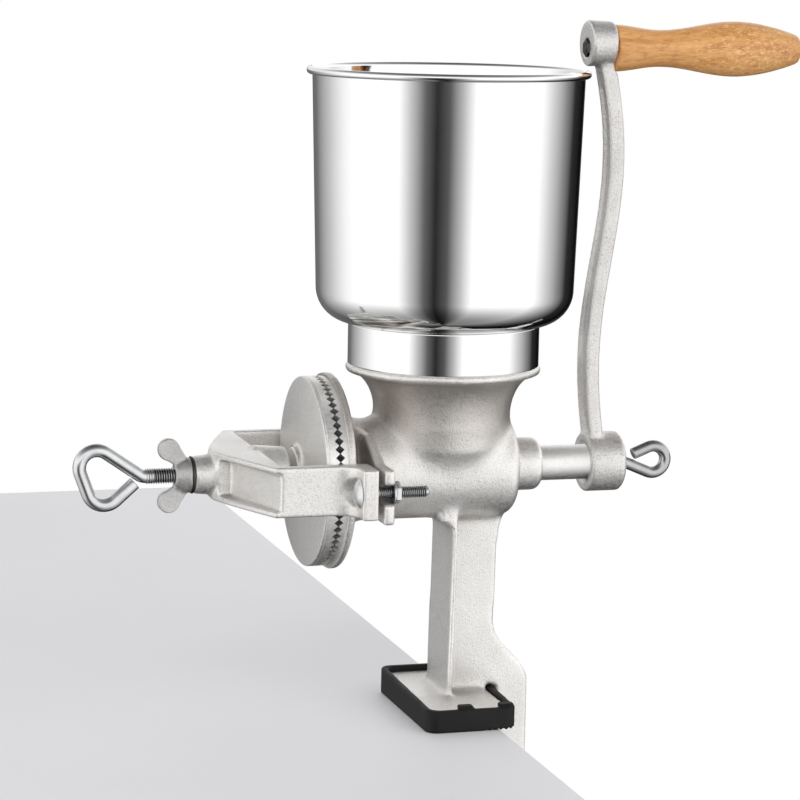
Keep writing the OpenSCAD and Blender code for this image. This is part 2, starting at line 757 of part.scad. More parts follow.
// Turning burr, on the back of the disc carrier
module turning_burr() {
    color(cast) difference() {
        translate([carrier_back_x, 0, axis_h]) rotate([0, 90, 0])
            burr_ring(turning_eye_r, burr_screw_d + burr_screw_head_r + 1, burr_r, turning_plate_t);
        at_burr_screws(turning_face_x) mirror([0, 0, 1]) screw_room(turning_plate_t);
    }
}

module turning_burr_screws() {
    color(zinc) at_burr_screws(turning_face_x - screw_sunk) mirror([0, 0, 1])
        countersunk(burr_screw_r, burr_screw_head_r, burr_screw_head_h,
            turning_plate_t - screw_sunk + turning_screw_deep);
}

// Domed disc with a front hub for the thrust ball and a rear hub for the feed screw's nose
module disc_carrier() {
    nose_deep = front_hub_x + ball_r + 2;
    color(cast) difference() {
        on_shaft() rotate_extrude($fn = 96) polygon(concat(
            [[0, front_hub_x], [front_hub_r - 1.5, front_hub_x], [front_hub_r, front_hub_x + 1.5],
                [front_hub_r + 0.6, dome_x - 0.6], [front_hub_r + 2.5, dome_x]],
            [for (i = [1 : steps]) [front_hub_r + 2.5 + (burr_r - front_hub_r - 3.3) * i / steps,
                dome_x + dome_h * pow(i / steps, 1.6)]],
            [[burr_r, carrier_edge_x + 0.7], [burr_r, carrier_back_x], [rear_hub_r, carrier_back_x],
                [rear_hub_r, rear_hub_x], [0, rear_hub_x]]
        ));
        on_shaft(front_hub_x - cut) cylinder(r = ball_r + run_fit, h = ball_r + touch + cut);
        on_shaft(nose_deep) cylinder(r = nose_r + fixed_fit, h = rear_hub_x - nose_deep + cut);
        translate([drive_pin_x, 0, axis_h]) rotate([90, 0, 0])
            cylinder(r = drive_pin_r + fixed_fit, h = 2 * rear_hub_r + cut, center = true);
        at_burr_screws(carrier_back_x + cut) mirror([0, 0, 1])
            cylinder(r = burr_screw_r + fixed_fit, h = turning_screw_deep + cut + 0.2);
    }
}

module drive_pin() {
    color(zinc) translate([drive_pin_x, 0, axis_h]) rotate([90, 0, 0])
        cylinder(r = drive_pin_r, h = 2 * rear_hub_r - 1, center = true);
}

// Flight of the feed screw: a left-handed ribbon from the burrs to the barrel's closed end
module flight(x0, x1) {
    per_turn = 20;
    n = ceil((x1 - x0 - flight_t) / flight_pitch * per_turn);
    root_r = core_r - 0.6;
    tip_t = flight_t * 0.7;
    half_t = flight_t / 2;
    outline = [[root_r, -half_t], [flight_r, -tip_t / 2], [flight_r, tip_t / 2], [root_r, half_t]];
    points = [for (i = [0 : n], q = outline)
        let (x = x0 + half_t + (x1 - x0 - flight_t) * i / n, a = -360 * i / per_turn)
        [x + q.y, q.x * cos(a), q.x * sin(a)]];
    sides = [for (i = [0 : n - 1], j = [0 : 3], half = [0, 1])
        let (a = 4 * i + j, b = 4 * i + (j + 1) % 4, c = a + 4, d = b + 4) half == 0 ? [a, c, b] : [b, c, d]];
    ends = [[0, 1, 2], [0, 2, 3], [4 * n, 4 * n + 2, 4 * n + 1], [4 * n, 4 * n + 3, 4 * n + 2]];
    translate([0, 0, axis_h]) polyhedron(points, concat(sides, ends));
}

// Feed screw: nose for the disc, core with its flight, bearing journal and a flat for the crank
module feed_screw() {
    nose_x = front_hub_x + ball_r + 2 + 0.2;
    core_x0 = rear_hub_x + 0.1;
    core_x1 = bore_end_x - 0.5;
    flat_x = hub_x0 + 1;
    edge = 0.7;
    color(zinc) difference() {
        union() {
            on_shaft() rotate_extrude() polygon([
                [0, nose_x], [nose_r - edge, nose_x], [nose_r, nose_x + edge], [nose_r, core_x0],
                [core_r, core_x0], [core_r, core_x1], [shaft_r, core_x1],
                [shaft_r, shaft_end_x - edge], [shaft_r - edge, shaft_end_x], [0, shaft_end_x]
            ]);
            flight(core_x0 + 2, core_x1);
        }
        translate([drive_pin_x, 0, axis_h]) rotate([90, 0, 0])
            cylinder(r = drive_pin_r + fixed_fit, h = 2 * nose_r + 2 * cut, center = true);
        translate([flat_x, -shaft_r - cut, axis_h + shaft_flat])
            cube([shaft_end_x - flat_x + cut, 2 * shaft_r + 2 * cut, shaft_r]);
        on_shaft(shaft_end_x - eye_screw_deep - cut)
            cylinder(r = eye_screw_r + fixed_fit, h = eye_screw_deep + 2 * cut);
    }
}

module thrust_ball() {
    color(polished) on_shaft(ball_x) sphere(r = ball_r);
}

// Plan of the beam on one side: deep at the boss and thin at the side web
module beam_plan() {
    mid_x = beam_in_x - beam_mid_d;
    end_x = beam_in_x - beam_end_d;
    mid_y = outer_boss_r / 2;
    bow = 1.15;
    polygon(concat(
        [[beam_in_x, 0], [mid_x, 0]],
        [for (i = [0 : steps]) [mid_x + (end_x - mid_x) * pow(i / steps, bow),
            mid_y + (side_out_y - mid_y) * i / steps]],
        [[beam_in_x, side_out_y]]
    ));
}

// Channel in the beam's front between its ribs, on one side, which runs out through the side web
module beam_recess_plan() {
    floor_near = 16;
    channel = 3.4;
    front_x = beam_in_x - beam_mid_d - cut;
    near_y = outer_boss_r + 1.5;
    out_y = side_out_y + cut;
    polygon([
        [front_x, near_y], [beam_in_x - floor_near, near_y],
        [beam_in_x - beam_end_d + channel, out_y], [front_x, out_y]
    ]);
}

// Side web and foot of the bridge on one side, with a fillet between them
module side_plan() {
    fillet = 9.5;
    polygon(concat(
        [[beam_in_x - 1, side_in_y], [beam_in_x - 1, side_out_y]],
        arc([bridge_foot_x0 - fillet, side_out_y + fillet], fillet, -90, 0, 8),
        [[bridge_foot_x0, foot_out_y], [bridge_foot_x1, foot_out_y], [bridge_foot_x1, side_in_y]]
    ));
}

// Bridge: a cast U that carries the adjusting screw in front of the disc
module bridge() {
    low = axis_h - bridge_h / 2;
    color(cast) difference() {
        union() {
            for (s = [0, 1]) mirror([0, s, 0]) translate([0, 0, low]) linear_extrude(bridge_h) {
                beam_plan();
                side_plan();
            }
            on_shaft(beam_in_x - 2)
                cylinder(r1 = inner_boss_r, r2 = inner_boss_r - 1.5, h = inner_boss_len + 2);
            on_shaft() rotate_extrude() polygon([
                [0, outer_boss_x], [outer_boss_r - 0.6, outer_boss_x], [outer_boss_r, outer_boss_x + 0.6],
                [outer_boss_r + 0.8, beam_in_x - beam_mid_d], [outer_boss_r + 2, beam_in_x - beam_mid_d + 9],
                [0, beam_in_x - beam_mid_d + 9]
            ]);
        }
        for (s = [0, 1]) mirror([0, s, 0]) translate([0, 0, low + rib_t]) linear_extrude(bridge_h - 2 * rib_t)
            beam_recess_plan();
        on_shaft(outer_boss_x - cut)
            cylinder(r = adjust_r + run_fit, h = inner_boss_x - outer_boss_x + 2 * cut);
        at_bolts(bridge_foot_x0 - 8) cylinder(r = bolt_head_r + 0.5, h = 8);
        at_bolts(bridge_foot_x0 - cut) cylinder(r = bolt_r + fixed_fit, h = bridge_foot_t + 2 * cut);
    }
}

// Round-headed bolts through the bridge's feet and the forks of the ears
module bridge_bolts() {
    head_h = 3.4;
    dome_r = (bolt_head_r * bolt_head_r + head_h * head_h) / (2 * head_h);
    dome_a = asin(bolt_head_r / dome_r);
    color(zinc) at_bolts(bridge_foot_x0) rotate_extrude() polygon(concat(
        arc([0, dome_r - head_h], dome_r, -90, -90 + dome_a),
        [[bolt_r, 0], [bolt_r, bolt_len - 0.8], [bolt_r - 0.8, bolt_len], [0, bolt_len]]
    ));
}

module bridge_washers() {
    color(zinc) at_bolts(ear_x1) difference() {
        cylinder(r = washer_r, h = bolt_washer_t);
        translate([0, 0, -cut]) cylinder(r = bolt_r + fixed_fit, h = bolt_washer_t + 2 * cut);
    }
}

module bridge_nuts() {
    color(zinc) at_bolts(ear_x1 + bolt_washer_t) hex_nut(nut_flats, nut_t, bolt_r + fixed_fit);
}

// Adjusting screw with a bent eye, which bears on the thrust ball
module adjusting_screw() {
    long = adjust_tip_x - adjust_eye_x;
    color(zinc) {
        on_shaft(adjust_eye_x) rotate_extrude() polygon([
            [0, 0], [adjust_r, 0], [adjust_r, long - 1], [adjust_r - 1, long], [0, long]
        ]);
        translate([adjust_eye_x, 0, axis_h]) rotate([90, 0, 180]) hand_eye();
    }
}

// Eye that the adjusting screw and the clamp screw are turned by
module hand_eye() {
    bent_rod(adjust_eye_rod_r,
        eye_line(adjust_eye_rod_r, eye_reach, eye_bend_r, eye_half, eye_skew, eye_slope, eye_neck_r));
}

module lock_washer() {
    color(dark_steel) on_shaft(nut_x) difference() {
        cylinder(r = outer_boss_r, h = washer_t);
        translate([0, 0, -cut]) cylinder(r = adjust_r + run_fit, h = washer_t + 2 * cut);
    }
}

// Wing nut that locks the adjusting screw: a short coned hub with two round ears that lean outwards
module lock_wing_nut() {
    wing_x = nut_x - wing_lean;
    rim = 0.6;
    neck = 2;
    color(zinc) difference() {
        union() {
            on_shaft(nut_x) rotate([180, 0, 0]) rotate_extrude() polygon([
                [0, 0], [outer_boss_r - rim, 0], [outer_boss_r - rim, neck],
                [adjust_r + 2.4, wing_nut_len - 1], [adjust_r + 1.8, wing_nut_len], [0, wing_nut_len]
            ]);
            for (s = [-1, 1]) across(wing_t) {
                translate([wing_x, axis_h + s * wing_reach]) circle(wing_r);
                polygon([
                    [wing_x - 0.8 * wing_r, axis_h + s * (wing_reach - 0.6 * wing_r)],
                    [wing_x + 0.6 * wing_r, axis_h + s * (wing_reach + 0.8 * wing_r)],
                    [nut_x - neck, axis_h + s * (outer_boss_r - rim)],
                    [nut_x - neck, axis_h + s * (adjust_r + 1)],
                    [nut_x - wing_nut_len + 1, axis_h + s * (adjust_r + 1)]
                ]);
            }
        }
        on_shaft(nut_x - 2 * wing_nut_len) cylinder(r = adjust_r + run_fit, h = 2 * wing_nut_len + cut);
    }
}

// Arm of the crank: a grooved section carried along an S-shaped curve from the hub to the boss.
// It grows thicker and narrower on the way, and leans to the boss at its top.
module arm_loft() {
    n = 28;
    z0 = hub_r - 3;
    z1 = crank_len + boss_rise - grip_boss_r + 3;
    corner = 1.6;
    rim = 2.6;
    function place(u) = arm_x - arm_sway * sin(360 * u) - arm_lean * pow(u, 6);
    function outline(half_t, half_w) = concat(
        arc([half_t - corner, half_w - corner], corner, 0, 90, 3),
        arc([-half_t + 0.8, half_w - 0.8], 0.8, 90, 180, 2),
        [[-half_t, half_w - rim + 0.8], [-half_t + arm_groove, half_w - rim - 0.8],
            [-half_t + arm_groove, -half_w + rim + 0.8], [-half_t, -half_w + rim - 0.8]],
        arc([-half_t + 0.8, -half_w + 0.8], 0.8, 180, 270, 2),
        arc([half_t - corner, -half_w + corner], corner, 270, 360, 3)
    );
    function section(z) = let (
            u = z / crank_len,
            thick = arm_low_t + (arm_top_t - arm_low_t) * u,
            wide = arm_low_w + (arm_top_w - arm_low_w) * u
        ) [for (q = outline(thick / 2, wide / 2)) [place(u) + q.x, q.y, axis_h + z]];
    m = len(outline(arm_low_t / 2, arm_low_w / 2));
    points = [for (i = [0 : n], p = section(z0 + (z1 - z0) * i / n)) p];
    sides = [for (i = [0 : n - 1], j = [0 : m - 1], half = [0, 1])
        let (a = m * i + j, b = m * i + (j + 1) % m, c = a + m, d = b + m) half == 0 ? [a, c, b] : [b, c, d]];
    polyhedron(points, concat(sides, [[for (j = [0 : m - 1]) j], [for (j = [m - 1 : -1 : 0]) m * n + j]]));
}

// Crank: a hub on the shaft's flat, the arm and a boss for the grip's spindle, faced for the grip
module crank_arm() {
    color(cast) difference() {
        union() {
            on_shaft() rotate_extrude() polygon([
                [0, hub_x0], [hub_r - 1, hub_x0], [hub_r, hub_x0 + 1], [hub_r, hub_x1 - 1.6],
                [hub_r - 1.6, hub_x1], [0, hub_x1]
            ]);
            arm_loft();
            translate([grip_boss_x, 0, grip_boss_z]) rotate([0, 90, 0]) rotate_extrude() polygon([
                [0, 0], [grip_boss_r - 0.8, 0], [grip_boss_r, 0.8], [grip_boss_r - 0.6, grip_boss_len - 0.8],
                [grip_boss_r - 1.4, grip_boss_len], [0, grip_boss_len]
            ]);
        }
        on_shaft(hub_x0 - cut) cylinder(r = shaft_r + 2.2, h = cut + 1);
        difference() {
            on_shaft(hub_x0 - cut) cylinder(r = shaft_r + fixed_fit, h = hub_len - hub_floor + cut);
            translate([hub_x0 + 1, -hub_r, axis_h + shaft_flat + fixed_fit])
                cube([hub_len, 2 * hub_r, hub_r]);
        }
        on_shaft(hub_x1 - hub_floor - cut) cylinder(r = crank_eye_rod_r + fixed_fit, h = hub_floor + 2 * cut);
        translate([grip_boss_x - cut, 0, grip_z]) rotate([0, 90, 0])
            cylinder(r = spindle_end_r + fixed_fit, h = grip_boss_len + 2 * cut);
        translate([grip_boss_x - cut, 0, grip_z]) rotate([0, 90, 0])
            cylinder(r = spindle_nut_r + fixed_fit, h = spindle_nut_t + cut);
        translate([grip_boss_x + grip_boss_len, 0, grip_z]) rotate([0, 90, 0])
            cylinder(r = grip_start_r + 1, h = 4);
    }
}

// Eye screw in the shaft's end, which keeps the crank on
module crank_eye_screw() {
    neck = 0.6;
    tip_x = shaft_end_x - eye_screw_deep + 0.4;
    shoulder_x = shaft_end_x + 0.2;
    color(zinc) {
        on_shaft() rotate_extrude() polygon([
            [0, tip_x], [eye_screw_r, tip_x], [eye_screw_r, shoulder_x], [crank_eye_rod_r, shoulder_x],
            [crank_eye_rod_r, hub_x1 + neck], [0, hub_x1 + neck]
        ]);
        translate([hub_x1 + neck, 0, axis_h]) rotate([-90, 0, 0]) bent_rod(crank_eye_rod_r, eye_line(
            crank_eye_rod_r, crank_eye_reach, crank_eye_bend_r, 0, 0, crank_eye_slope, crank_eye_neck_r));
    }
}

// Spindle through the grip, shouldered against the boss, with a round head at the far end
module grip_spindle() {
    boss_x1 = grip_boss_x + grip_boss_len;
    head_x = grip_x1 - spindle_head_h + 0.6;
    edge = 0.3;
    end_x = grip_boss_x + edge;
    color(dark_steel) translate([0, 0, grip_z]) rotate([0, 90, 0]) rotate_extrude() polygon([
        [0, end_x], [spindle_end_r - edge, end_x], [spindle_end_r, end_x + edge],
        [spindle_end_r, boss_x1], [spindle_r, boss_x1], [spindle_r, head_x], [spindle_head_r, head_x],
        [spindle_head_r, head_x + 1], [spindle_head_r - 1.2, head_x + spindle_head_h],
        [0, head_x + spindle_head_h + 0.4]
    ]);
}

module spindle_nut() {
    color(dark_steel) translate([grip_boss_x, 0, grip_z]) rotate([0, 90, 0])
        hex_nut(2 * spindle_nut_r * cos(30), spindle_nut_t - touch, spindle_end_r + fixed_fit);
}

// Turned grip: it starts full, narrows to a waist, swells to a belly and rounds off
module wooden_grip() {
    waist = 0.25;
    belly = 0.66;
    edge = 1.2;
    nose = 0.985;
    function part(t, a, b) = ease((t - a) / (b - a));
    function girth(t) =
        t < waist ? grip_start_r + (grip_waist_r - grip_start_r) * part(t, 0, waist)
        : t < belly ? grip_waist_r + (grip_belly_r - grip_waist_r) * part(t, waist, belly)
        : grip_end_r + (grip_belly_r - grip_end_r) * (1 - pow((t - belly) / (1 - belly), 1.8));
    head_x = grip_len - spindle_head_h + 0.6;
    bore = spindle_r + run_fit;
    color(wood) translate([grip_x0, 0, grip_z]) rotate([0, 90, 0]) rotate_extrude() polygon(concat(
        [[bore, 0], [grip_start_r - edge, 0], [grip_start_r - 0.3, 0.3 * edge]],
        [for (i = [0 : 30]) let (t = 0.012 + (nose - 0.012) * i / 30) [girth(t), t * grip_len]],
        [[grip_end_r, grip_len - 0.8], [grip_end_r - 0.8, grip_len], [spindle_head_r + slip_fit, grip_len],
            [spindle_head_r + slip_fit, head_x - slip_fit], [bore, head_x - slip_fit]]
    ));
}

// Clamp screw under the jaw, with a round tip in the pressure plate and a bent eye to turn it by
module clamp_screw() {
    shoulder_z = plate_top_z - plate_t - plate_hub_h - touch;
    edge = 0.8;
    color(zinc) {
        translate([clamp_x, 0, 0]) rotate_extrude() polygon([
            [0, clamp_eye_z], [clamp_screw_r, clamp_eye_z], [clamp_screw_r, shoulder_z - edge],
            [clamp_screw_r - edge, shoulder_z], [tip_r, shoulder_z], [tip_r, shoulder_z + tip_len],
            [0, shoulder_z + tip_len]
        ]);
        translate([clamp_x, 0, clamp_eye_z]) rotate([90, 90, 0]) hand_eye();
    }
}

// Pressure plate that bears on the table from below and swivels on the clamp screw's tip
module pressure_plate() {
    hub_z = plate_top_z - plate_t - plate_hub_h;
    color(cast) translate([clamp_x, 0, 0]) difference() {
        rotate_extrude() polygon([
            [0, hub_z], [tip_r + 3, hub_z], [tip_r + 3.6, hub_z + plate_hub_h - 1],
            [plate_r - 1, hub_z + plate_hub_h], [plate_r, hub_z + plate_hub_h + 1], [plate_r, plate_top_z],
            [0, plate_top_z]
        ]);
        translate([0, 0, hub_z - cut]) cylinder(r = tip_r + run_fit, h = tip_len + cut);
    }
}

body();
foot_pad();
hopper_drum();
hopper_collar();
fixed_burr();
fixed_burr_screws();
turning_burr();
turning_burr_screws();
disc_carrier();
drive_pin();
feed_screw();
thrust_ball();
bridge();
bridge_bolts();
bridge_washers();
bridge_nuts();
adjusting_screw();
lock_washer();
lock_wing_nut();
crank_arm();
crank_eye_screw();
grip_spindle();
spindle_nut();
wooden_grip();
clamp_screw();
pressure_plate();
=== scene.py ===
import json
import math
import bmesh
import bpy
import numpy as np
from mathutils import Matrix, Vector

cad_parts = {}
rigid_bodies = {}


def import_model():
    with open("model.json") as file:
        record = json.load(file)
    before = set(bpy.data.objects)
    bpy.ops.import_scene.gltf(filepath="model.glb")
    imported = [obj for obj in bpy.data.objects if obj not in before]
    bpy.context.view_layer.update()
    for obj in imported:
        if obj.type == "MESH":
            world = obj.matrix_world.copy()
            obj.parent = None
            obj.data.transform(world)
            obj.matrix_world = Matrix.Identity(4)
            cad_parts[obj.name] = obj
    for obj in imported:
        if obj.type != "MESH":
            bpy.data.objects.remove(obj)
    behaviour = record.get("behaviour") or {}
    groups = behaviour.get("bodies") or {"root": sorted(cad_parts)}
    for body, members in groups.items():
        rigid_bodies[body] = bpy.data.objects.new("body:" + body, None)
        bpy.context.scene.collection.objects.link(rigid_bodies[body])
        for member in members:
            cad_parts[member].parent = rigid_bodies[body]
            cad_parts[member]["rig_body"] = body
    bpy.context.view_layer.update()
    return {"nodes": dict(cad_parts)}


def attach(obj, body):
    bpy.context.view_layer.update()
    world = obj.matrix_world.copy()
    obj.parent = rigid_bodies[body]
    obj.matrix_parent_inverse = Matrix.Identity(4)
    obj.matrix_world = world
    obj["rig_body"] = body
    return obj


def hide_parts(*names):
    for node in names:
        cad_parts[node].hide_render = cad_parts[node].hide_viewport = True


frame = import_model()

MM = 0.001
FULL_TURN = 2 * math.pi
QUARTER = math.pi / 2
ALONG_X = Vector((1, 0, 0))
ALONG_Y = Vector((0, 1, 0))
ALONG_Z = Vector((0, 0, 1))

# Places and sizes of the mill, in millimetres, as the solids have them
AXIS_H = 131.5
GRIP_Z = 350.2
MOUTH_Z = 186.1
DRUM_Z = 208.1
SEAT_X = -61.0
BORE_R = 22.5
BOLT_Y = 66.05
CLAMP_X = 6.0
# Points closer than this are one point
MERGE = 0.002 * MM


# Camera: the photograph's angle, for a square picture
IMAGE_W = 800
SENSOR_MM = 36
FOCAL_PX = 2918
CAMERA_PLACE = Vector((-0.4560, -1.4361, 0.4030))
CAMERA_TURN = math.radians(-16.78)
CAMERA_DIP = math.radians(8.93)
CAMERA_ROLL = math.radians(1.11)


def make_camera():
    ahead = Vector((-math.sin(CAMERA_TURN), math.cos(CAMERA_TURN), 0))
    right = Vector((math.cos(CAMERA_TURN), math.sin(CAMERA_TURN), 0))
    sight = ahead * math.cos(CAMERA_DIP) - ALONG_Z * math.sin(CAMERA_DIP)
    above = ALONG_Z * math.cos(CAMERA_DIP) + ahead * math.sin(CAMERA_DIP)
    across = right * math.cos(CAMERA_ROLL) + above * math.sin(CAMERA_ROLL)
    up = above * math.cos(CAMERA_ROLL) - right * math.sin(CAMERA_ROLL)
    data = bpy.data.cameras.new("camera")
    data.sensor_width = SENSOR_MM
    data.lens = FOCAL_PX / IMAGE_W * SENSOR_MM
    data.clip_start = 0.05
    data.clip_end = 50
    camera = bpy.data.objects.new("camera", data)
    turn = Matrix((across, up, -sight)).transposed().to_4x4()
    camera.matrix_world = Matrix.Translation(CAMERA_PLACE) @ turn
    bpy.context.scene.collection.objects.link(camera)
    bpy.context.scene.camera = camera


# Materials
class Nodes:
    """A node tree, with short ways to add and join its nodes."""

    def __init__(self, tree):
        self.nodes = tree.nodes
        self.links = tree.links

    def calculate(self, kind, *values):
        node = self.nodes.new("ShaderNodeMath")
        node.operation = kind
        for socket, value in zip(node.inputs, values):
            if isinstance(value, (int, float)):
                socket.default_value = value
            else:
                self.links.new(value, socket)
        return node.outputs[0]

    def apart(self, place):
        """The X, Y and Z of a place or a heading."""
        node = self.nodes.new("ShaderNodeSeparateXYZ")
        self.links.new(place, node.inputs[0])
        return node.outputs

    def ramp(self, factor, stops):
        node = self.nodes.new("ShaderNodeValToRGB")
        elements = node.color_ramp.elements
        for place, _ in stops[2:]:
            elements.new(place)
        for element, (place, colour) in zip(elements, stops):
            element.position = place
            element.color = (*colour, 1) if isinstance(colour, tuple) else (colour, colour, colour, 1)
        self.links.new(factor, node.inputs["Fac"])
        return node.outputs["Color"]

    def mix(self, kind, factor, first, second):
        node = self.nodes.new("ShaderNodeMix")
        node.data_type = "RGBA"
        node.blend_type = kind
        if isinstance(factor, float):
            node.inputs["Factor"].default_value = factor
        else:
            self.links.new(factor, node.inputs["Factor"])
        for socket, value in ((node.inputs[6], first), (node.inputs[7], second)):
            if isinstance(value, tuple):
                socket.default_value = (*value, 1)
            else:
                self.links.new(value, socket)
        return node.outputs[2]


class Finish(Nodes):
    """A material with its shader, patterned on the frame's own coordinates."""

    def __init__(self, name):
        self.material = bpy.data.materials.new(name)
        self.material.use_nodes = True
        super().__init__(self.material.node_tree)
        self.shader = self.nodes["Principled BSDF"]
        self.coords = self.nodes.new("ShaderNodeTexCoord").outputs["Object"]

    def set(self, **values):
        for socket, value in values.items():
            self.shader.inputs[socket.replace("_", " ")].default_value = value

    def feed(self, socket, output):
        self.links.new(output, self.shader.inputs[socket])

    def stretched(self, scale):
        node = self.nodes.new("ShaderNodeMapping")
        node.inputs["Scale"].default_value = scale
        self.links.new(self.coords, node.inputs["Vector"])
        return node.outputs["Vector"]

    def noise(self, scale, detail=3.0, roughness=0.55, coords=None, distortion=0.0):
        node = self.nodes.new("ShaderNodeTexNoise")
        node.inputs["Scale"].default_value = scale
        node.inputs["Detail"].default_value = detail
        node.inputs["Roughness"].default_value = roughness
        node.inputs["Distortion"].default_value = distortion
        self.links.new(coords or self.coords, node.inputs["Vector"])
        return node.outputs["Fac"]

    def bump(self, height, strength, distance, before=None):
        node = self.nodes.new("ShaderNodeBump")
        node.inputs["Strength"].default_value = strength
        node.inputs["Distance"].default_value = distance
        self.links.new(height, node.inputs["Height"])
        if before:
            self.links.new(before, node.inputs["Normal"])
        return node.outputs["Normal"]

    def along(self, axis, reach):
        """Place along an axis of the frame, as a share of a reach."""
        return self.calculate("DIVIDE", self.apart(self.coords)[axis], reach)

    def attribute(self, name):
        node = self.nodes.new("ShaderNodeAttribute")
        node.attribute_name = name
        return node.outputs["Fac"]

    def edges(self):
        return self.nodes.new("ShaderNodeNewGeometry").outputs["Pointiness"]

    def hollows(self, reach):
        node = self.nodes.new("ShaderNodeAmbientOcclusion")
        node.only_local = True
        node.samples = 6
        node.inputs["Distance"].default_value = reach
        return node.outputs["AO"]


# Painted shade on the throat, darkest under the hopper collar's lip: a brown tint by height, as a share of
# the reach
THROAT_SHADE_REACH = 200 * MM
THROAT_SHADE = [(0.7, 1.0), (0.81, (0.76, 0.735, 0.71)), (0.905, (0.63, 0.605, 0.575)), (0.925, 1.0)]


def cast_finish(name, light, dark, grain, throat_shaded=False):
    """Tinned casting: satin, sandy from the mould, with painted shade in hollows and creases, lighter worn
    edges and, where asked, painted shade on the throat under the hopper.
    """
    finish = Finish(name)
    patches = finish.noise(30, 4, 0.6)
    sand = finish.noise(1400, 3, 0.65)
    pits = finish.noise(520, 2, 0.5)
    colour = finish.mix("MIX", finish.ramp(patches, [(0.35, 0.0), (0.68, 1.0)]), light, dark)
    speckle = finish.ramp(sand, [(0.33, (0.6, 0.585, 0.56)), (0.47, 1.0)])
    colour = finish.mix("MULTIPLY", 0.75 * grain, colour, speckle)
    # Painted shade: ambient occlusion darkens the hollows and tints them brown
    hollow_shade = finish.ramp(finish.hollows(20 * MM), [(0.25, (0.45, 0.425, 0.39)), (0.8, 1.0)])
    colour = finish.mix("MULTIPLY", 0.8, colour, hollow_shade)
    # Painted shade: the throat darkened and browned by height, most of all under the hopper collar's lip
    if throat_shaded:
        under_lip_shade = finish.ramp(finish.along("Z", THROAT_SHADE_REACH), THROAT_SHADE)
        colour = finish.mix("MULTIPLY", 1.0, colour, under_lip_shade)
    # Painted shade and wear: pointiness darkens creases as painted shade and lightens sharp edges as wear
    wear_and_crease_shade = finish.ramp(finish.edges(), [(0.42, 0.72), (0.49, 1.0), (0.56, 1.08)])
    colour = finish.mix("MULTIPLY", 1.0, colour, wear_and_crease_shade)
    finish.feed("Base Color", colour)
    finish.feed("Roughness", finish.ramp(patches, [(0.3, 0.31), (0.7, 0.4)]))
    finish.feed("Metallic", finish.ramp(pits, [(0.35, 0.78), (0.65, 0.95)]))
    lumps = finish.bump(finish.noise(140, 2, 0.5), 0.2, 0.6 * MM)
    dents = finish.bump(pits, 0.25 * grain, 0.4 * MM, lumps)
    finish.feed("Normal", finish.bump(sand, 0.6 * grain, 0.4 * MM, dents))
    return finish.material


def polished_finish(name):
    """Mirror-polished stainless sheet with the faint rings that spinning leaves."""
    finish = Finish(name)
    rings = finish.noise(1.0, 2, 0.5, finish.stretched((6, 6, 900)))
    smears = finish.noise(22, 4, 0.6)
    finish.feed("Base Color", finish.ramp(smears, [(0.25, (0.9, 0.9, 0.9)), (0.8, (0.94, 0.94, 0.935))]))
    finish.feed("Roughness", finish.ramp(smears, [(0.3, 0.06), (0.75, 0.1)]))
    finish.feed("Normal", finish.bump(rings, 0.012, 0.2 * MM))
    finish.set(Metallic=1.0)
    return finish.material


# Attribute: depth of a screw's thread at a point, from 0 on the crest to 1 at the root
GROOVE = "groove"


def plated_finish(name, light, dark, roughness):
    """Zinc plate or blackened steel: mottled, with fine scratches and painted shade in the thread grooves.
    """
    finish = Finish(name)
    mottle = finish.noise(90, 4, 0.6)
    scratch = finish.noise(1.0, 3, 0.6, finish.stretched((260, 900, 1400)))
    # Painted shade: thread roots darkened by their groove depth
    groove_shade = finish.ramp(finish.attribute(GROOVE), [(0.1, 1.0), (0.9, 0.1)])
    colour = finish.mix("MULTIPLY", 1.0, finish.ramp(mottle, [(0.3, light), (0.72, dark)]), groove_shade)
    finish.feed("Base Color", colour)
    finish.feed("Roughness", finish.ramp(mottle, [(0.3, roughness * 0.8), (0.7, roughness * 1.3)]))
    finish.feed("Normal", finish.bump(scratch, 0.12, 0.1 * MM))
    finish.set(Metallic=1.0)
    return finish.material


# The grip's belly shows bright rays: their strength by place along the grip, as a share of the reach
GRIP_REACH = 200 * MM
RAYS = [(0.6, 0.2), (0.76, 0.9), (0.92, 0.9), (0.96, 0.3)]


def wood_finish(name):
    """Warm wood under clear lacquer: grain along the grip, pores, a flecked figure and bright rays."""
    finish = Finish(name)
    grain = finish.noise(1.0, 5, 0.62, finish.stretched((13, 190, 190)), 0.4)
    fibre = finish.noise(1.0, 4, 0.6, finish.stretched((60, 1400, 1400)))
    flecks = finish.noise(1.0, 3, 0.6, finish.stretched((170, 420, 420)), 0.6)
    flame = finish.noise(1.0, 2, 0.5, finish.stretched((30, 60, 60)), 0.8)
    colour = finish.ramp(grain, [
        (0.28, (0.56, 0.24, 0.065)), (0.5, (0.75, 0.365, 0.115)), (0.74, (0.87, 0.485, 0.18))])
    colour = finish.mix("MULTIPLY", 0.45, colour, finish.ramp(fibre, [(0.35, 0.72), (0.58, 1.0)]))
    flecks = finish.ramp(flecks, [(0.36, (0.72, 0.56, 0.4)), (0.5, 1.0)])
    colour = finish.mix("MULTIPLY", 0.6, colour, flecks)
    flame = finish.ramp(flame, [(0.3, (0.84, 0.74, 0.6)), (0.65, 1.0)])
    colour = finish.mix("MULTIPLY", 0.5, colour, flame)
    rays = finish.noise(1.0, 2, 0.5, finish.stretched((330, 900, 900)), 0.9)
    rays = finish.ramp(rays, [(0.52, 0.0), (0.66, 1.0)])
    bright = finish.mix("MULTIPLY", 1.0, rays, finish.ramp(finish.along("X", GRIP_REACH), RAYS))
    colour = finish.mix("MIX", bright, colour, (0.9, 0.56, 0.25))
    finish.feed("Base Color", colour)
    finish.feed("Roughness", finish.ramp(fibre, [(0.3, 0.5), (0.7, 0.38)]))
    finish.feed("Normal", finish.bump(fibre, 0.12, 0.2 * MM))
    finish.set(Coat_Weight=0.45, Coat_Roughness=0.2)
    return finish.material


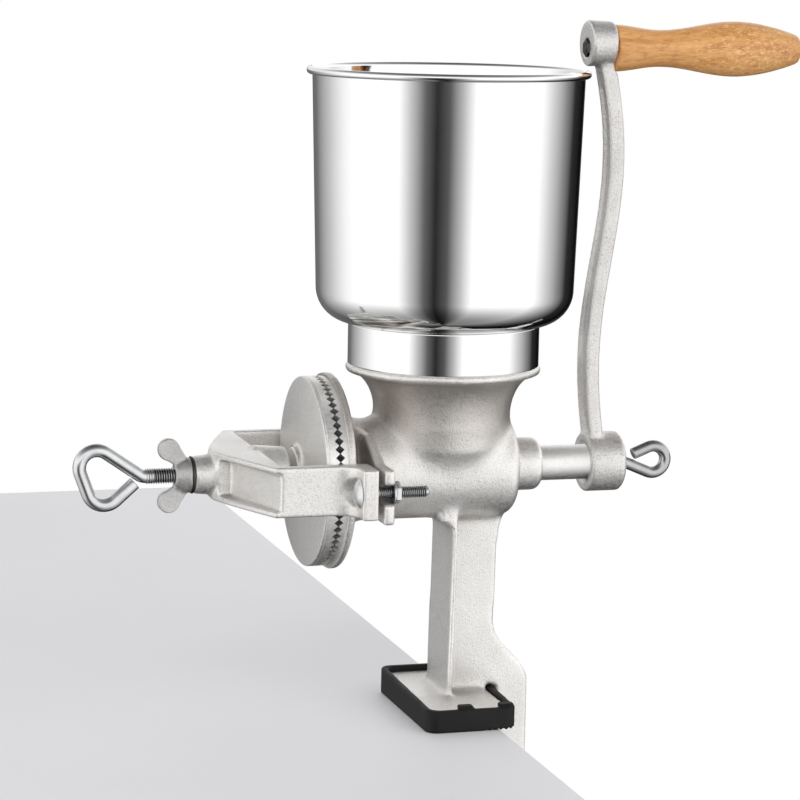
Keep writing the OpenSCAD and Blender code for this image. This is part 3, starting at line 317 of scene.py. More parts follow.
def rubber_finish(name):
    """Moulded black rubber: dull, with a dusty bloom."""
    finish = Finish(name)
    bloom = finish.noise(60, 4, 0.6)
    skin = finish.noise(1300, 2, 0.5)
    finish.feed("Base Color", finish.ramp(bloom, [(0.3, 0.006), (0.75, 0.016)]))
    finish.feed("Roughness", finish.ramp(bloom, [(0.3, 0.5), (0.7, 0.66)]))
    finish.feed("Normal", finish.bump(skin, 0.2, 0.2 * MM))
    finish.set(Specular_IOR_Level=0.25)
    return finish.material


CAST = cast_finish("tinned_cast", (0.96, 0.945, 0.925), (0.88, 0.86, 0.835), 1.0)
BODY_CAST = cast_finish("throat_shaded_cast", (0.96, 0.945, 0.925), (0.88, 0.86, 0.835), 1.0, True)
ROUGH_CAST = cast_finish("rough_cast", (0.9, 0.882, 0.862), (0.78, 0.762, 0.742), 1.3)
DULL_CAST = cast_finish("dull_cast", (0.71, 0.702, 0.69), (0.6, 0.592, 0.58), 1.0)
MACHINED = cast_finish("faced_cast", (0.93, 0.92, 0.905), (0.84, 0.83, 0.81), 0.5)
POLISHED = polished_finish("polished_sheet")
ZINC = plated_finish("zinc_plate", (0.78, 0.785, 0.795), (0.66, 0.665, 0.675), 0.22)
STEEL = plated_finish("bare_steel", (0.56, 0.56, 0.57), (0.44, 0.44, 0.45), 0.2)
BLACKENED = plated_finish("blackened_steel", (0.12, 0.118, 0.114), (0.06, 0.059, 0.057), 0.36)
BALL = plated_finish("ground_ball", (0.85, 0.85, 0.86), (0.8, 0.8, 0.81), 0.12)
WOOD = wood_finish("lacquered_wood")
RUBBER = rubber_finish("black_rubber")


# Ways of making a piece
def on_shaft(x):
    return Vector((x, 0, AXIS_H)) * MM


def bow(centre, radius, first, last, steps):
    """Points of an arc in a profile, by angle in degrees."""
    angles = [math.radians(first + (last - first) * i / steps) for i in range(steps + 1)]
    return [(centre[0] + radius * math.cos(a), centre[1] + radius * math.sin(a)) for a in angles]


def square_to(axis):
    return ALONG_Z if abs(axis.z) < 0.5 else ALONG_X


def add_turned(bm, line, axis, centre, steps):
    """Turns a line of (radius, place along the axis) full circle, to a solid where it ends on the axis."""
    side = square_to(axis)
    verts = [bm.verts.new(centre + (axis * place + side * radius) * MM) for radius, place in line]
    solid = line[0][0] == 0 and line[-1][0] == 0
    following = verts[1:] if solid else verts[1:] + verts[:1]
    edges = [bm.edges.new(pair) for pair in zip(verts, following)]
    bmesh.ops.spin(bm, geom=verts + edges, cent=centre, axis=axis, angle=FULL_TURN, steps=steps,
                   use_merge=True)
    bmesh.ops.remove_doubles(bm, verts=bm.verts, dist=MERGE)
    bmesh.ops.recalc_face_normals(bm, faces=bm.faces)


def turned(line, axis, centre, steps):
    bm = bmesh.new()
    add_turned(bm, line, axis, centre, steps)
    return bm


# How deep a thread is cut, as a share of its pitch
THREAD_DEPTH = 0.6


def thread_root(crest_r, pitch):
    return crest_r - THREAD_DEPTH * pitch


def add_thread(bm, axis, start, crest_r, pitch, turns, steps=36):
    """Adds a thread: one tooth's line wound once round the axis, repeated along it, with closed ends."""
    side = square_to(axis)
    depth = bm.verts.layers.float.get(GROOVE) or bm.verts.layers.float.new(GROOVE)
    root_r = thread_root(crest_r, pitch)
    tooth = [(root_r, 0.0), (root_r, 0.12), (crest_r, 0.44), (crest_r, 0.56), (root_r, 0.88), (root_r, 1.0)]
    before = set(bm.verts)
    verts = [bm.verts.new(start + (axis * along * pitch + side * radius) * MM) for radius, along in tooth]
    for vert, (radius, _) in zip(verts, tooth):
        vert[depth] = (crest_r - radius) / (crest_r - root_r)
    edges = [bm.edges.new(pair) for pair in zip(verts, verts[1:])]
    bmesh.ops.spin(bm, geom=verts + edges, cent=start, axis=axis, dvec=axis * pitch * MM / steps,
                   angle=FULL_TURN, steps=steps)
    turn = [v for v in bm.verts if v not in before]
    turn += list({face for vert in turn for face in vert.link_faces})
    for i in range(1, turns):
        made = bmesh.ops.duplicate(bm, geom=turn)["geom"]
        copied = [item for item in made if isinstance(item, bmesh.types.BMVert)]
        bmesh.ops.translate(bm, verts=copied, vec=axis * pitch * i * MM)
    wound = [v for v in bm.verts if v not in before]
    bmesh.ops.remove_doubles(bm, verts=wound, dist=MERGE)
    bmesh.ops.holes_fill(bm, edges=[e for e in bm.edges if e.is_boundary], sides=0)
    bmesh.ops.recalc_face_normals(bm, faces=bm.faces)


# Rounding of a bent rod's end, and the gap between that end and the rod
ROD_END = 0.6
ROD_GAP = 0.3


def first_ring(bm, place, heading, radius, sides=28):
    """A closed disc that a rod is drawn from."""
    verts = bmesh.ops.create_circle(bm, cap_ends=True, segments=sides, radius=radius * MM)["verts"]
    turn = heading.to_track_quat("Z", "Y").to_matrix().to_4x4()
    bmesh.ops.transform(bm, matrix=Matrix.Translation(place) @ turn, verts=verts)
    return list({edge for vert in verts for edge in vert.link_edges})


def draw_rod(bm, ring, step):
    made = bmesh.ops.extrude_edge_only(bm, edges=ring)["geom"]
    verts = [item for item in made if isinstance(item, bmesh.types.BMVert)]
    bmesh.ops.translate(bm, verts=verts, vec=step)
    return [edge for edge in made if isinstance(edge, bmesh.types.BMEdge) and len(edge.link_faces) == 1]


def bend_rod(bm, ring, centre, axis, angle, steps):
    verts = list({vert for edge in ring for vert in edge.verts})
    made = bmesh.ops.spin(bm, geom=verts + ring, cent=centre, axis=axis, angle=angle, steps=steps)
    return [item for item in made["geom_last"] if isinstance(item, bmesh.types.BMEdge)]


def close_rod(bm, ring):
    face = bmesh.ops.contextual_create(bm, geom=ring)["faces"][0]
    bmesh.ops.bevel(bm, geom=face.edges[:], offset=ROD_END * MM, segments=4, profile=0.5, affect="EDGES",
                    material=-1)


def add_eye(bm, start, along, up, rod_r, reach, bend_r, half, skew, slope, neck_r):
    """Bends a rod into an eye: up from the thread's end, round two bends and back to just under itself."""
    normal = along.cross(up)
    slope = math.radians(slope)
    rise = math.asin((bend_r + neck_r) / math.hypot(reach, neck_r - half))
    rise -= math.atan2(neck_r - half, reach)
    lean = math.atan2(skew, 2 * half) if half else 0.0
    far = Vector((reach, half))
    near = Vector((reach - skew, -half))
    leaves = Vector((math.sin(rise), 1 - math.cos(rise))) * neck_r
    meets = far + Vector((math.cos(QUARTER + rise), math.sin(QUARTER + rise))) * bend_r
    back = near - Vector((math.sin(slope), math.cos(slope))) * bend_r
    heading = Vector((-math.cos(slope), math.sin(slope)))
    under = Vector((math.sin(rise), -math.cos(rise)))
    corner = back + Vector((math.sin(slope), math.cos(slope))) * rod_r - leaves
    run = (rod_r + ROD_GAP - corner.dot(under)) / heading.dot(under)

    def step(flat):
        return (along * flat.x + up * flat.y) * MM

    ring = first_ring(bm, start - along * rod_r * MM, along, rod_r)
    ring = draw_rod(bm, ring, along * rod_r * MM)
    ring = bend_rod(bm, ring, start + up * neck_r * MM, normal, rise, 6)
    ring = draw_rod(bm, ring, step(meets - leaves))
    ring = bend_rod(bm, ring, start + step(far), normal, -(QUARTER + rise + lean), 16)
    if half:
        ring = draw_rod(bm, ring, step(near - far))
    ring = bend_rod(bm, ring, start + step(near), normal, -(QUARTER + slope - lean), 16)
    ring = draw_rod(bm, ring, step(heading * run))
    close_rod(bm, ring)
    bmesh.ops.recalc_face_normals(bm, faces=bm.faces)


# A ring's Z axis turned along the shaft, with its Y axis up
TO_SHAFT = Matrix(((0, 0, 1, 0), (1, 0, 0, 0), (0, 1, 0, 0), (0, 0, 0, 1)))


def add_hex_nut(bm, place, flats, bore, length):
    """A nut along the shaft: a hexagon bridged to its bore, drawn out, with its rims eased."""
    easing = 0.45
    corner_r = flats / 2 / math.cos(math.pi / 6)
    outer = bmesh.ops.create_circle(bm, segments=6, radius=corner_r * MM)["verts"]
    inner = bmesh.ops.create_circle(bm, segments=30, radius=bore * MM)["verts"]
    rims = list({edge for vert in outer + inner for edge in vert.link_edges})
    faces = bmesh.ops.bridge_loops(bm, edges=rims)["faces"]
    made = bmesh.ops.extrude_face_region(bm, geom=faces, use_keep_orig=True)["geom"]
    top = [item for item in made if isinstance(item, bmesh.types.BMVert)]
    bmesh.ops.translate(bm, verts=top, vec=(0, 0, length * MM))
    far_r = 0.5 * (corner_r + bore) * MM
    verts = outer + inner + top
    sharp = [edge for edge in {edge for vert in verts for edge in vert.link_edges}
             if all(vert.co.xy.length > far_r for vert in edge.verts)
             and abs(edge.verts[0].co.z - edge.verts[1].co.z) < length / 2 * MM]
    eased = bmesh.ops.bevel(bm, geom=sharp, offset=easing * MM, segments=2, profile=0.5, affect="EDGES",
                            material=-1)["verts"]
    whole = {vert for vert in verts if vert.is_valid} | set(eased)
    bmesh.ops.transform(bm, matrix=Matrix.Translation(place) @ TO_SHAFT, verts=list(whole))
    bmesh.ops.recalc_face_normals(bm, faces=bm.faces)


def finish_piece(name, bm, material, node, sharp=35):
    """Makes a piece of a mesh, in the place of a CAD node and on its body."""
    mesh = bpy.data.meshes.new(name)
    bm.to_mesh(mesh)
    bm.free()
    place_piece(name, mesh, material, node, sharp)


def place_piece(name, mesh, material, node, sharp):
    mesh.materials.clear()
    mesh.materials.append(material)
    mesh.shade_smooth()
    mesh.set_sharp_from_angle(angle=math.radians(sharp))
    piece = bpy.data.objects.new(name, mesh)
    bpy.context.scene.collection.objects.link(piece)
    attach(piece, frame["nodes"][node]["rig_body"])
    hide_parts(node)
    return piece


def remeshed(node, voxel):
    """An even skin of small faces over a copy of a CAD node."""
    bm = bmesh.new()
    bm.from_mesh(frame["nodes"][node].data)
    bmesh.ops.remove_doubles(bm, verts=bm.verts, dist=MERGE / 2)
    mesh = bpy.data.meshes.new(node + "_copy")
    bm.to_mesh(mesh)
    bm.free()
    helper = bpy.data.objects.new(node + "_copy", mesh)
    bpy.context.scene.collection.objects.link(helper)
    skin = helper.modifiers.new("skin", "REMESH")
    skin.mode = "VOXEL"
    skin.voxel_size = voxel * MM
    result = bpy.data.meshes.new_from_object(helper.evaluated_get(bpy.context.evaluated_depsgraph_get()))
    bpy.data.objects.remove(helper)
    bpy.data.meshes.remove(mesh)
    return result


# How far a skin moves in each round of relaxing, as a share of the way to its neighbours' mean
RELAX_STEP = 0.5
LAST_ROUNDS, LAST_STEP = 2, 0.4


def relax(mesh, rounds, fillet_rounds, fills):
    """Rounds a skin's edges, then lets its inner corners fill where fills says so, as a casting's do."""
    count = len(mesh.vertices)
    places = np.zeros(count * 3)
    mesh.vertices.foreach_get("co", places)
    places = places.reshape(-1, 3)
    ends = np.zeros(len(mesh.edges) * 2, int)
    mesh.edges.foreach_get("vertices", ends)
    first, second = ends.reshape(-1, 2).T
    degree = np.bincount(np.concatenate([first, second]), minlength=count)[:, None]
    normals = np.zeros(count * 3)

    def pull():
        total = np.stack([
            np.bincount(first, places[second, i], count) + np.bincount(second, places[first, i], count)
            for i in range(3)], axis=1)
        return total / degree - places

    for _ in range(rounds):
        places += RELAX_STEP * pull()
    may_fill = fills(places / MM)
    for _ in range(fillet_rounds):
        mesh.vertices.foreach_set("co", places.ravel())
        mesh.update()
        mesh.vertex_normals.foreach_get("vector", normals)
        outward = normals.reshape(-1, 3)
        rise = np.einsum("ij,ij->i", pull(), outward)
        places += RELAX_STEP * (np.clip(rise, 0, None) * may_fill)[:, None] * outward
    for _ in range(LAST_ROUNDS):
        places += LAST_STEP * pull()
    mesh.vertices.foreach_set("co", places.ravel())
    mesh.update()


# An angle that no edge of a casting's skin reaches
ALL_SMOOTH = 180


def cast_piece(name, node, material, voxel, rounds, fillet_rounds, fills):
    """A casting: a CAD node's skin, eased and filleted."""
    mesh = remeshed(node, voxel)
    relax(mesh, rounds, fillet_rounds, fills)
    return place_piece(name, mesh, material, node, ALL_SMOOTH)


# How much the corners of each casting may fill: not at all in bores, seats and slots for another piece
def off_shaft(points):
    return np.hypot(points[:, 1], points[:, 2] - AXIS_H)


def off_bolts(points):
    return np.hypot(np.abs(points[:, 1]) - BOLT_Y, points[:, 2] - AXIS_H)


def fills_body(points):
    x, y, z = points.T
    margin, slot_r, clamp_r = 1.5, 8, 7
    funnel_z, funnel_r, funnel_flare = 150, 23, 0.72
    jaw_z, leg_low, leg_high = -50, 20, 104
    throat_low, throat_high, throat_r = 128, 172, 40
    throat_share, leg_share, other_share = 1.0, 0.08, 0.27
    funnel = funnel_r + np.clip(z - funnel_z, 0, None) * funnel_flare
    kept = off_shaft(points) < BORE_R + margin
    kept |= (z > funnel_z - 4) & (np.hypot(x, y) < funnel)
    kept |= z > MOUTH_Z - margin
    kept |= x < SEAT_X + margin
    kept |= off_bolts(points) < slot_r
    kept |= (z < jaw_z) & (np.hypot(x - CLAMP_X, y) < clamp_r)
    throat_foot = (z > throat_low) & (z < throat_high) & (np.abs(x) < throat_r)
    leg = (z < leg_high) & (z > leg_low)
    share = np.where(throat_foot, throat_share, np.where(leg, leg_share, other_share))
    return np.where(kept, 0.0, share)


def fills_bridge(points):
    screw_r, head_r = 6, 9
    return ((off_shaft(points) > screw_r) & (off_bolts(points) > head_r)).astype(float)


def fills_crank(points):
    bore_r, pin_r = 12, 6
    hub_r, boss_r = 24, 21
    arm_share, boss_share = 0.03, 1.0
    off_grip = np.hypot(points[:, 1], points[:, 2] - GRIP_Z)
    may_fill = (off_shaft(points) > bore_r) & (off_grip > pin_r)
    arm = (off_shaft(points) > hub_r) & (off_grip > boss_r)
    return np.where(may_fill, np.where(arm, arm_share, boss_share), 0.0)


def fills_nut(points):
    bore_r = 5
    return (off_shaft(points) > bore_r).astype(float)


def fills_nowhere(points):
    return np.zeros(len(points))


# Pieces
def make_hopper():
    """Spun drum with a round knuckle and a rolled bead, and the collar under it."""
    base = Vector((0, 0, 0))
    sheet, floor_r = 1.0, 47.6
    knuckle, knuckle_r = (49.0, 226.1), 18.0
    bead, bead_r = (71.2, 337.3), 2.0
    drum = [(floor_r, DRUM_Z)]
    drum += bow(knuckle, knuckle_r, -90, 0, 16)
    drum += [(70.2, 335.1)]
    drum += bow(bead, bead_r, -120, 180, 20)
    drum += bow(knuckle, knuckle_r - sheet, 0, -90, 16)
    drum += [(floor_r, DRUM_Z + sheet)]
    bm = turned(drum, ALONG_Z, base, 160)
    finish_piece("polished_drum", bm, POLISHED, "hopper_drum", 40)
    inner_r, outer_r = 48.6, 49.8
    collar = [(inner_r, MOUTH_Z), (49.3, MOUTH_Z), (49.65, 186.25), (outer_r, 186.6), (outer_r, 187.0)]
    collar += [(outer_r, 206.9), (outer_r, 207.3), (49.65, 207.7), (49.3, 208.05), (inner_r, DRUM_Z)]
    bm = turned(collar, ALONG_Z, base, 160)
    finish_piece("polished_collar", bm, POLISHED, "hopper_collar", 30)


def make_castings():
    cast_piece("cast_body", "body", BODY_CAST,
               voxel=1.2, rounds=3, fillet_rounds=130, fills=fills_body)
    cast_piece("cast_bridge", "bridge", CAST,
               voxel=0.8, rounds=2, fillet_rounds=16, fills=fills_bridge)
    crank = cast_piece("cast_crank", "crank_arm", ROUGH_CAST,
                       voxel=0.6, rounds=2, fillet_rounds=80, fills=fills_crank)
    # The drum's polish shows no crank
    crank.visible_glossy = False
    cast_piece("wing_nut", "lock_wing_nut", DULL_CAST,
               voxel=0.45, rounds=3, fillet_rounds=18, fills=fills_nut)
    cast_piece("rubber_tray", "foot_pad", RUBBER,
               voxel=0.6, rounds=1, fillet_rounds=0, fills=fills_nowhere)


def make_disc():
    """Dished disc: a front hub with a seat for the ball, a low dome and a rear hub for the screw's nose."""
    hub_x, dome_x, back_x, rear_x, nose_x = -80.8, -77.6, -73.0, -61.0, -74.8
    ball_r, ball_deep, rear_r, nose_r = 4.06, 4.05, 14.0, 9.05
    root_r, dome_w, dome_fall, dome_curve, dome_steps = 15.5, 32.9, 2.8, 1.6, 20
    line = [(0, hub_x + ball_deep), (ball_r, hub_x + ball_deep), (ball_r, hub_x)]
    line += bow((11.5, hub_x + 1.5), 1.5, -90, 0, 6)
    line += bow((root_r, dome_x - 2.4), 2.4, 180, 90, 6)
    for i in range(1, dome_steps + 1):
        share = i / dome_steps
        line += [(root_r + dome_w * share, dome_x + dome_fall * share ** dome_curve)]
    line += bow((48.5, back_x - 1.1), 0.7, -60, 0, 4)
    line += [(49.2, back_x - 0.4), (48.9, back_x), (rear_r, back_x), (rear_r, rear_x)]
    line += [(nose_r, rear_x), (nose_r, nose_x), (0, nose_x)]
    bm = turned(line, ALONG_X, on_shaft(0), 144)
    finish_piece("dished_disc", bm, CAST, "disc_carrier", 40)


def make_feed_worm():
    """Feed screw: a turned core with its journal, and a flight wound round it."""
    nose_x, core_x, journal_x, end_x = -74.6, -60.9, 29.5, 93.7
    nose_r, core_r, journal_r, chamfer = 9.0, 10.0, 9.2, 0.7
    line = [(0, nose_x), (nose_r - chamfer, nose_x), (nose_r, nose_x + chamfer), (nose_r, core_x)]
    line += [(core_r, core_x), (core_r, journal_x), (journal_r, journal_x), (journal_r, end_x - chamfer)]
    line += [(journal_r - chamfer, end_x), (0, end_x)]
    bm = turned(line, ALONG_X, on_shaft(0), 72)
    start, end, turns, steps = -56.9, 27.5, 2.85, 171
    outline = [(9.4, -2.0), (20.8, -1.5), (21.5, -1.1), (21.8, -0.4)]
    outline += [(radius, -along) for radius, along in reversed(outline)]
    verts = [bm.verts.new(on_shaft(start + along) + ALONG_Y * radius * MM) for radius, along in outline]
    face = bm.faces.new(verts)
    bmesh.ops.spin(bm, geom=verts + face.edges[:] + [face], cent=on_shaft(start), axis=ALONG_X,
                   dvec=ALONG_X * (end - start) * MM / steps, angle=-FULL_TURN * turns, steps=steps)
    bmesh.ops.recalc_face_normals(bm, faces=bm.faces)
    finish_piece("feed_worm", bm, MACHINED, "feed_screw", 50)


# How far a screw's core lies under the root of its thread
CORE_GAP = 0.06
# Eyes: half the length between the two bends, how far that leans, and the slope of the end in degrees
HAND_EYE = {
    "rod_r": 3.42, "reach": 25.5, "bend_r": 8.8, "half": 5.4, "skew": 4.0, "slope": 42, "neck_r": 7.0}
CRANK_EYE = {
    "rod_r": 3.1, "reach": 19.4, "bend_r": 7.2, "half": 0.0, "skew": 0.0, "slope": 22, "neck_r": 4.0}


def make_screws():
    """The three screws with bent eyes, two of them threaded."""
    eye_x, tip_x, crest_r, pitch, chamfer = -157.3, -84.85, 4.0, 1.25, 0.6
    root_r = thread_root(crest_r, pitch) - CORE_GAP
    bm = bmesh.new()
    add_eye(bm, on_shaft(eye_x), -ALONG_X, ALONG_Z, **HAND_EYE)
    line = [(0, eye_x - 1), (root_r, eye_x - 1), (root_r, tip_x - chamfer), (root_r - chamfer, tip_x)]
    line += [(0, tip_x)]
    add_turned(bm, line, ALONG_X, on_shaft(0), 36)
    add_thread(bm, ALONG_X, on_shaft(eye_x - 0.8), crest_r, pitch, 57)
    finish_piece("adjuster", bm, ZINC, "adjusting_screw", 50)

    eye_z, shoulder_z, crest_r, pitch = -106.0, -39.05, 5.0, 1.5
    neck_r, neck_h, chamfer = 3.8, 5.0, 0.6
    root_r = thread_root(crest_r, pitch) - CORE_GAP
    foot = Vector((CLAMP_X, 0, 0)) * MM
    bm = bmesh.new()
    add_eye(bm, foot + ALONG_Z * eye_z * MM, -ALONG_Z, ALONG_X, **HAND_EYE)
    line = [(0, eye_z), (neck_r, eye_z), (root_r, eye_z + 0.8), (root_r, shoulder_z - 0.4)]
    line += [(neck_r, shoulder_z), (neck_r, shoulder_z + neck_h - chamfer)]
    line += [(neck_r - chamfer, shoulder_z + neck_h), (0, shoulder_z + neck_h)]
    add_turned(bm, line, ALONG_Z, foot, 36)
    add_thread(bm, ALONG_Z, foot + ALONG_Z * (eye_z + 0.2) * MM, crest_r, pitch, 43)
    finish_piece("clamp_spindle", bm, ZINC, "clamp_screw", 50)

    tip_x, hub_x, shank_x, eye_x = 80.1, 93.9, 99.2, 99.5
    tip_r, shank_r, chamfer = 3.0, 3.05, 0.4
    bm = bmesh.new()
    add_eye(bm, on_shaft(eye_x), ALONG_X, -ALONG_Z, **CRANK_EYE)
    line = [(0, tip_x), (tip_r - chamfer, tip_x), (tip_r, tip_x + chamfer), (tip_r, hub_x)]
    line += [(shank_r, hub_x), (shank_r, shank_x), (0, shank_x)]
    add_turned(bm, line, ALONG_X, on_shaft(0), 28)
    finish_piece("eye_bolt", bm, STEEL, "crank_eye_screw", 40)


def make_bolts():
    """Domed bolts through the bridge's feet, with threaded tails and their nuts."""
    head_x, tail, plain = -63.0, 36.0, 9.0
    head_r, head_h, shank_r, pitch, chamfer = 7.6, 3.4, 3.0, 1.0, 0.5
    rim, rim_share = 0.25, 0.94
    nut_x, nut_flats, nut_bore, nut_h = -45.5, 10.0, 3.05, 3.2
    dome_r = (head_r ** 2 + head_h ** 2) / (2 * head_h)
    spread = math.degrees(math.asin(head_r / dome_r))
    root_r = thread_root(shank_r, pitch) - CORE_GAP
    line = bow((0, dome_r - head_h), dome_r, -90, -90 + spread * rim_share, 12)
    line[0] = (0, -head_h)
    line += [(head_r, -rim), (head_r - rim, 0), (shank_r, 0), (shank_r, plain), (root_r, plain + 0.8)]
    line += [(root_r, tail - chamfer), (root_r - chamfer, tail), (0, tail)]
    bolts = bmesh.new()
    nuts = bmesh.new()
    for side in (-1, 1):
        off_axis = ALONG_Y * side * BOLT_Y * MM
        place = on_shaft(head_x) + off_axis
        add_turned(bolts, line, ALONG_X, place, 48)
        add_thread(bolts, ALONG_X, place + ALONG_X * (plain + 0.2) * MM, shank_r, pitch, 25)
        add_hex_nut(nuts, on_shaft(nut_x) + off_axis, nut_flats, nut_bore, nut_h)
    finish_piece("domed_bolts", bolts, ZINC, "bridge_bolts", 40)
    finish_piece("thin_nuts", nuts, ZINC, "bridge_nuts", 30)


def make_washer():
    """Thin dark washer under the wing nut, with its rim eased; its black finish also stands in for the
    shadow in the gap there, as painted shade.
    """
    front_x, back_x, bore_r, rim_r, easing = -134.3, -133.3, 4.06, 9.6, 0.2
    line = [(bore_r, front_x), (rim_r - easing, front_x), (rim_r, front_x + easing)]
    line += [(rim_r, back_x - easing), (rim_r - easing, back_x), (bore_r, back_x)]
    bm = turned(line, ALONG_X, on_shaft(0), 64)
    # Painted shade: a real washer, whose black also stands in for the shadow between the wing nut and the
    # boss
    finish_piece("dark_washer", bm, BLACKENED, "lock_washer")


def make_pressure_plate():
    """Round plate with a socket for the clamp screw's tip."""
    face_z, seat_z, rim_z, low_z = -30.0, -34.0, -36.0, -39.0
    socket_r = 3.86
    line = [(0, seat_z), (socket_r, seat_z), (socket_r, low_z)]
    line += [(6.5, low_z), (6.9, low_z + 0.4), (7.3, rim_z)]
    line += bow((9.3, rim_z), 2.0, 180, 90, 5)
    line += [(14.6, seat_z)]
    line += bow((15.0, seat_z + 1.0), 1.0, -60, 0, 4)
    line += bow((15.4, face_z - 0.6), 0.6, 0, 90, 3)
    line += [(0, face_z)]
    bm = turned(line, ALONG_Z, Vector((CLAMP_X, 0, 0)) * MM, 72)
    finish_piece("cast_plate", bm, CAST, "pressure_plate")


def make_grip():
    """Turned grip with a waist and a belly, on a spindle with a round head and a nut."""
    start, long, bore_r = 89.2, 104.0, 3.56
    shoulder, waist, belly, nose, nose_curve = 0.013, 0.25, 0.66, 0.985, 1.8
    start_r, waist_r, belly_r, end_r = 12.2, 9.6, 14.5, 7.4

    def ease(t):
        return (1 - math.cos(math.pi * t)) / 2

    def girth(t):
        if t < waist:
            return start_r + (waist_r - start_r) * ease(t / waist)
        if t < belly:
            return waist_r + (belly_r - waist_r) * ease((t - waist) / (belly - waist))
        return end_r + (belly_r - end_r) * (1 - ((t - belly) / (1 - belly)) ** nose_curve)

    start_round, end_round, seat_r, seat_deep = 1.2, 0.9, 5.7, 2.1
    line = [(bore_r, 0.0)] + bow((start_r - start_round, start_round), start_round, -90, -6, 6)
    line += [(girth(t), t * long) for t in np.linspace(shoulder, nose, 72).tolist()]
    line += bow((end_r - end_round, long - end_round), end_round, 20, 90, 4)
    line += [(seat_r, long), (seat_r, long - seat_deep), (bore_r, long - seat_deep)]
    grip_axis = Vector((0, 0, GRIP_Z)) * MM
    bm = turned(line, ALONG_X, Vector((start, 0, GRIP_Z)) * MM, 96)
    finish_piece("turned_grip", bm, WOOD, "wooden_grip", 45)

    tip_x, step_x, head_x, tail_r, pin_r, chamfer = 73.5, 88.8, 191.4, 3.0, 3.5, 0.5
    line = [(0, tip_x), (tail_r - chamfer, tip_x), (tail_r, tip_x + chamfer), (tail_r, step_x)]
    line += [(pin_r, step_x), (pin_r, head_x), (5.2, head_x), (5.4, 191.6), (5.4, 192.4), (5.1, 193.1)]
    line += [(4.2, 193.7), (2.4, 194.1), (0, 194.2)]
    bm = turned(line, ALONG_X, grip_axis, 40)
    finish_piece("grip_pin", bm, BLACKENED, "grip_spindle", 40)

    nut_x, nut_flats, nut_bore, nut_h = 73.9, 8.2, 3.05, 3.85
    bm = bmesh.new()
    add_hex_nut(bm, grip_axis + ALONG_X * nut_x * MM, nut_flats, nut_bore, nut_h)
    finish_piece("pin_nut", bm, BLACKENED, "spindle_nut", 30)


# Light, floor and background
def at(degrees):
    """Place on a ramp round the mill, where 0.5 is the camera's side and more is to its right."""
    return 0.5 + degrees / 360


# What polished metal shows: bands round the mill, and how they fade towards the floor and the top
LOW_BANDS = [
    (at(-180), 0.1), (at(-150), 0.14), (at(-122), 0.47), (at(-98), 0.84), (at(-82), 1.0), (at(-43), 1.0),
    (at(-31), 0.5), (at(-19), 0.11), (at(-9), 0.015), (at(2), 0.085), (at(13), 0.45), (at(24), 0.97),
    (at(84), 1.0), (at(100), 0.58), (at(118), 0.23), (at(134), 0.02), (at(160), 0.0), (at(180), 0.1)]
HIGH_BANDS = [
    (at(-180), 0.95), (at(-165), 0.7), (at(-130), 0.68), (at(-95), 0.95), (at(-60), 1.0), (at(180), 1.0)]
LOW_FADE = [(0.0, 0.17), (0.06, 0.27), (0.13, 0.42), (0.21, 0.64), (0.34, 1.0)]
HIGH_FADE = [(0.5, 1.0), (0.69, 1.0), (0.85, 0.32), (1.0, 0.07)]
LOW_TO_HIGH = [(0.485, 0.0), (0.545, 1.0)]
MIRROR_LIGHT = 1.18
# What lights the rest
SOFT_FADE = [(0.0, 0.5), (0.45, 1.0), (0.6, 1.0), (1.0, 0.5)]
SOFT_LIGHT = 0.88


def make_world():
    """Soft light all round, bands for polished metal to show, and a white background."""
    world = bpy.data.worlds.new("studio")
    bpy.context.scene.world = world
    world.use_nodes = True
    world.node_tree.nodes.clear()
    tree = Nodes(world.node_tree)

    def background(strength, colour=None):
        node = tree.nodes.new("ShaderNodeBackground")
        node.inputs["Color"].default_value = (1, 1, 1, 1)
        node.inputs["Strength"].default_value = strength
        if colour:
            tree.links.new(colour, node.inputs["Color"])
        return node.outputs[0]

    def choose(factor, first, second):
        node = tree.nodes.new("ShaderNodeMixShader")
        for socket, output in zip(node.inputs, (factor, first, second)):
            tree.links.new(output, socket)
        return node.outputs[0]

    x, y, z = tree.apart(tree.nodes.new("ShaderNodeTexCoord").outputs["Generated"])
    to_camera = math.atan2(CAMERA_PLACE.y, CAMERA_PLACE.x)
    turn = tree.calculate("SUBTRACT", tree.calculate("ARCTAN2", y, x), to_camera)
    turn = tree.calculate("DIVIDE", turn, FULL_TURN)
    turn = tree.calculate("FRACT", tree.calculate("ADD", turn, 0.5))
    height = tree.calculate("MULTIPLY_ADD", z, 0.5, 0.5)
    low = tree.mix("MULTIPLY", 1.0, tree.ramp(turn, LOW_BANDS), tree.ramp(height, LOW_FADE))
    high = tree.mix("MULTIPLY", 1.0, tree.ramp(turn, HIGH_BANDS), tree.ramp(height, HIGH_FADE))
    bands = tree.mix("MIX", tree.ramp(height, LOW_TO_HIGH), low, high)

    rays = tree.nodes.new("ShaderNodeLightPath").outputs
    white = background(1.0)
    soft = background(SOFT_LIGHT, tree.ramp(height, SOFT_FADE))
    glossy = choose(rays["Is Glossy Ray"], soft, background(MIRROR_LIGHT, bands))
    clear = choose(rays["Is Transmission Ray"], glossy, white)
    seen = choose(rays["Is Camera Ray"], clear, white)
    output = tree.nodes.new("ShaderNodeOutputWorld")
    tree.links.new(seen, output.inputs["Surface"])


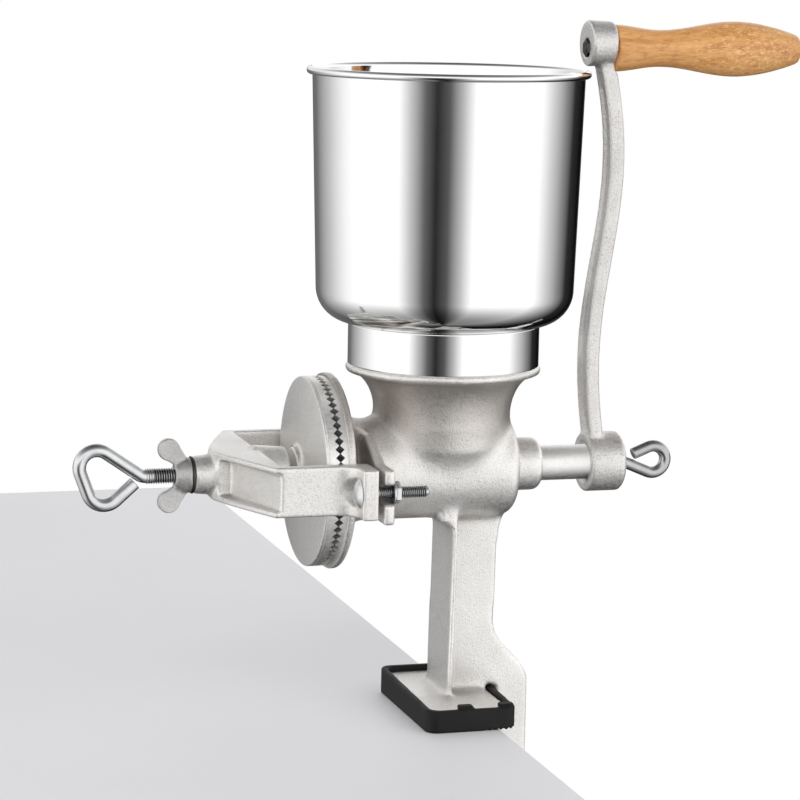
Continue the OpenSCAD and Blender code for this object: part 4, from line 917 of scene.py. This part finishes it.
def make_lamp(name, place, aim, size, power):
    data = bpy.data.lights.new(name, "AREA")
    data.shape = "SQUARE"
    data.size = size
    data.energy = power
    lamp = bpy.data.objects.new(name, data)
    lamp.location = place
    lamp.rotation_euler = (Vector(aim) - Vector(place)).to_track_quat("-Z", "Y").to_euler()
    lamp.visible_glossy = False
    bpy.context.scene.collection.objects.link(lamp)


def make_floor():
    """Pale slab that ends beside the foot, so that the clamp has room to hang past its edge."""
    finish = Finish("pale_floor")
    clouds = [(0.3, (0.83, 0.825, 0.85)), (0.7, (0.87, 0.865, 0.89))]
    finish.feed("Base Color", finish.ramp(finish.noise(3, 2), clouds))
    finish.feed("Roughness", finish.ramp(finish.noise(40, 2), [(0.3, 0.55), (0.7, 0.65)]))
    low = Vector((-1.6, -2.4, -0.0041))
    high = Vector((0.0215, 0.65, -0.0001))
    easing = 1.0
    bm = bmesh.new()
    bmesh.ops.create_cube(bm, size=1)
    bmesh.ops.scale(bm, verts=bm.verts, vec=high - low)
    bmesh.ops.translate(bm, verts=bm.verts, vec=(low + high) / 2)
    bmesh.ops.bevel(bm, geom=bm.edges, offset=easing * MM, segments=3, profile=0.5, affect="EDGES",
                    material=-1)
    mesh = bpy.data.meshes.new("floor")
    bm.to_mesh(mesh)
    bm.free()
    mesh.materials.append(finish.material)
    floor = bpy.data.objects.new("floor", mesh)
    floor.visible_glossy = False
    bpy.context.scene.collection.objects.link(floor)


make_camera()
make_hopper()
make_castings()
make_disc()
make_feed_worm()
make_screws()
make_bolts()
make_washer()
make_pressure_plate()
make_grip()

# Nodes whose shape is right as it is
LEFT_AS_CAD = {
    "fixed_burr": MACHINED, "turning_burr": MACHINED, "drive_pin": ZINC, "fixed_burr_screws": ZINC,
    "turning_burr_screws": ZINC, "thrust_ball": BALL, "bridge_washers": ZINC,
}
for node, material in LEFT_AS_CAD.items():
    mesh = frame["nodes"][node].data
    mesh.materials.clear()
    mesh.materials.append(material)

make_world()
make_lamp("key", place=(-1.0, -1.5, 1.1), aim=(0, 0, 0.15), size=1.2, power=12)
make_lamp("fill", place=(1.3, -1.2, 0.9), aim=(0, 0, 0.15), size=1.2, power=4)
make_lamp("rear", place=(0.3, 1.4, 1.4), aim=(0, 0, 0.2), size=1.2, power=5)
make_floor()

bpy.context.scene.view_settings.view_transform = "Standard"
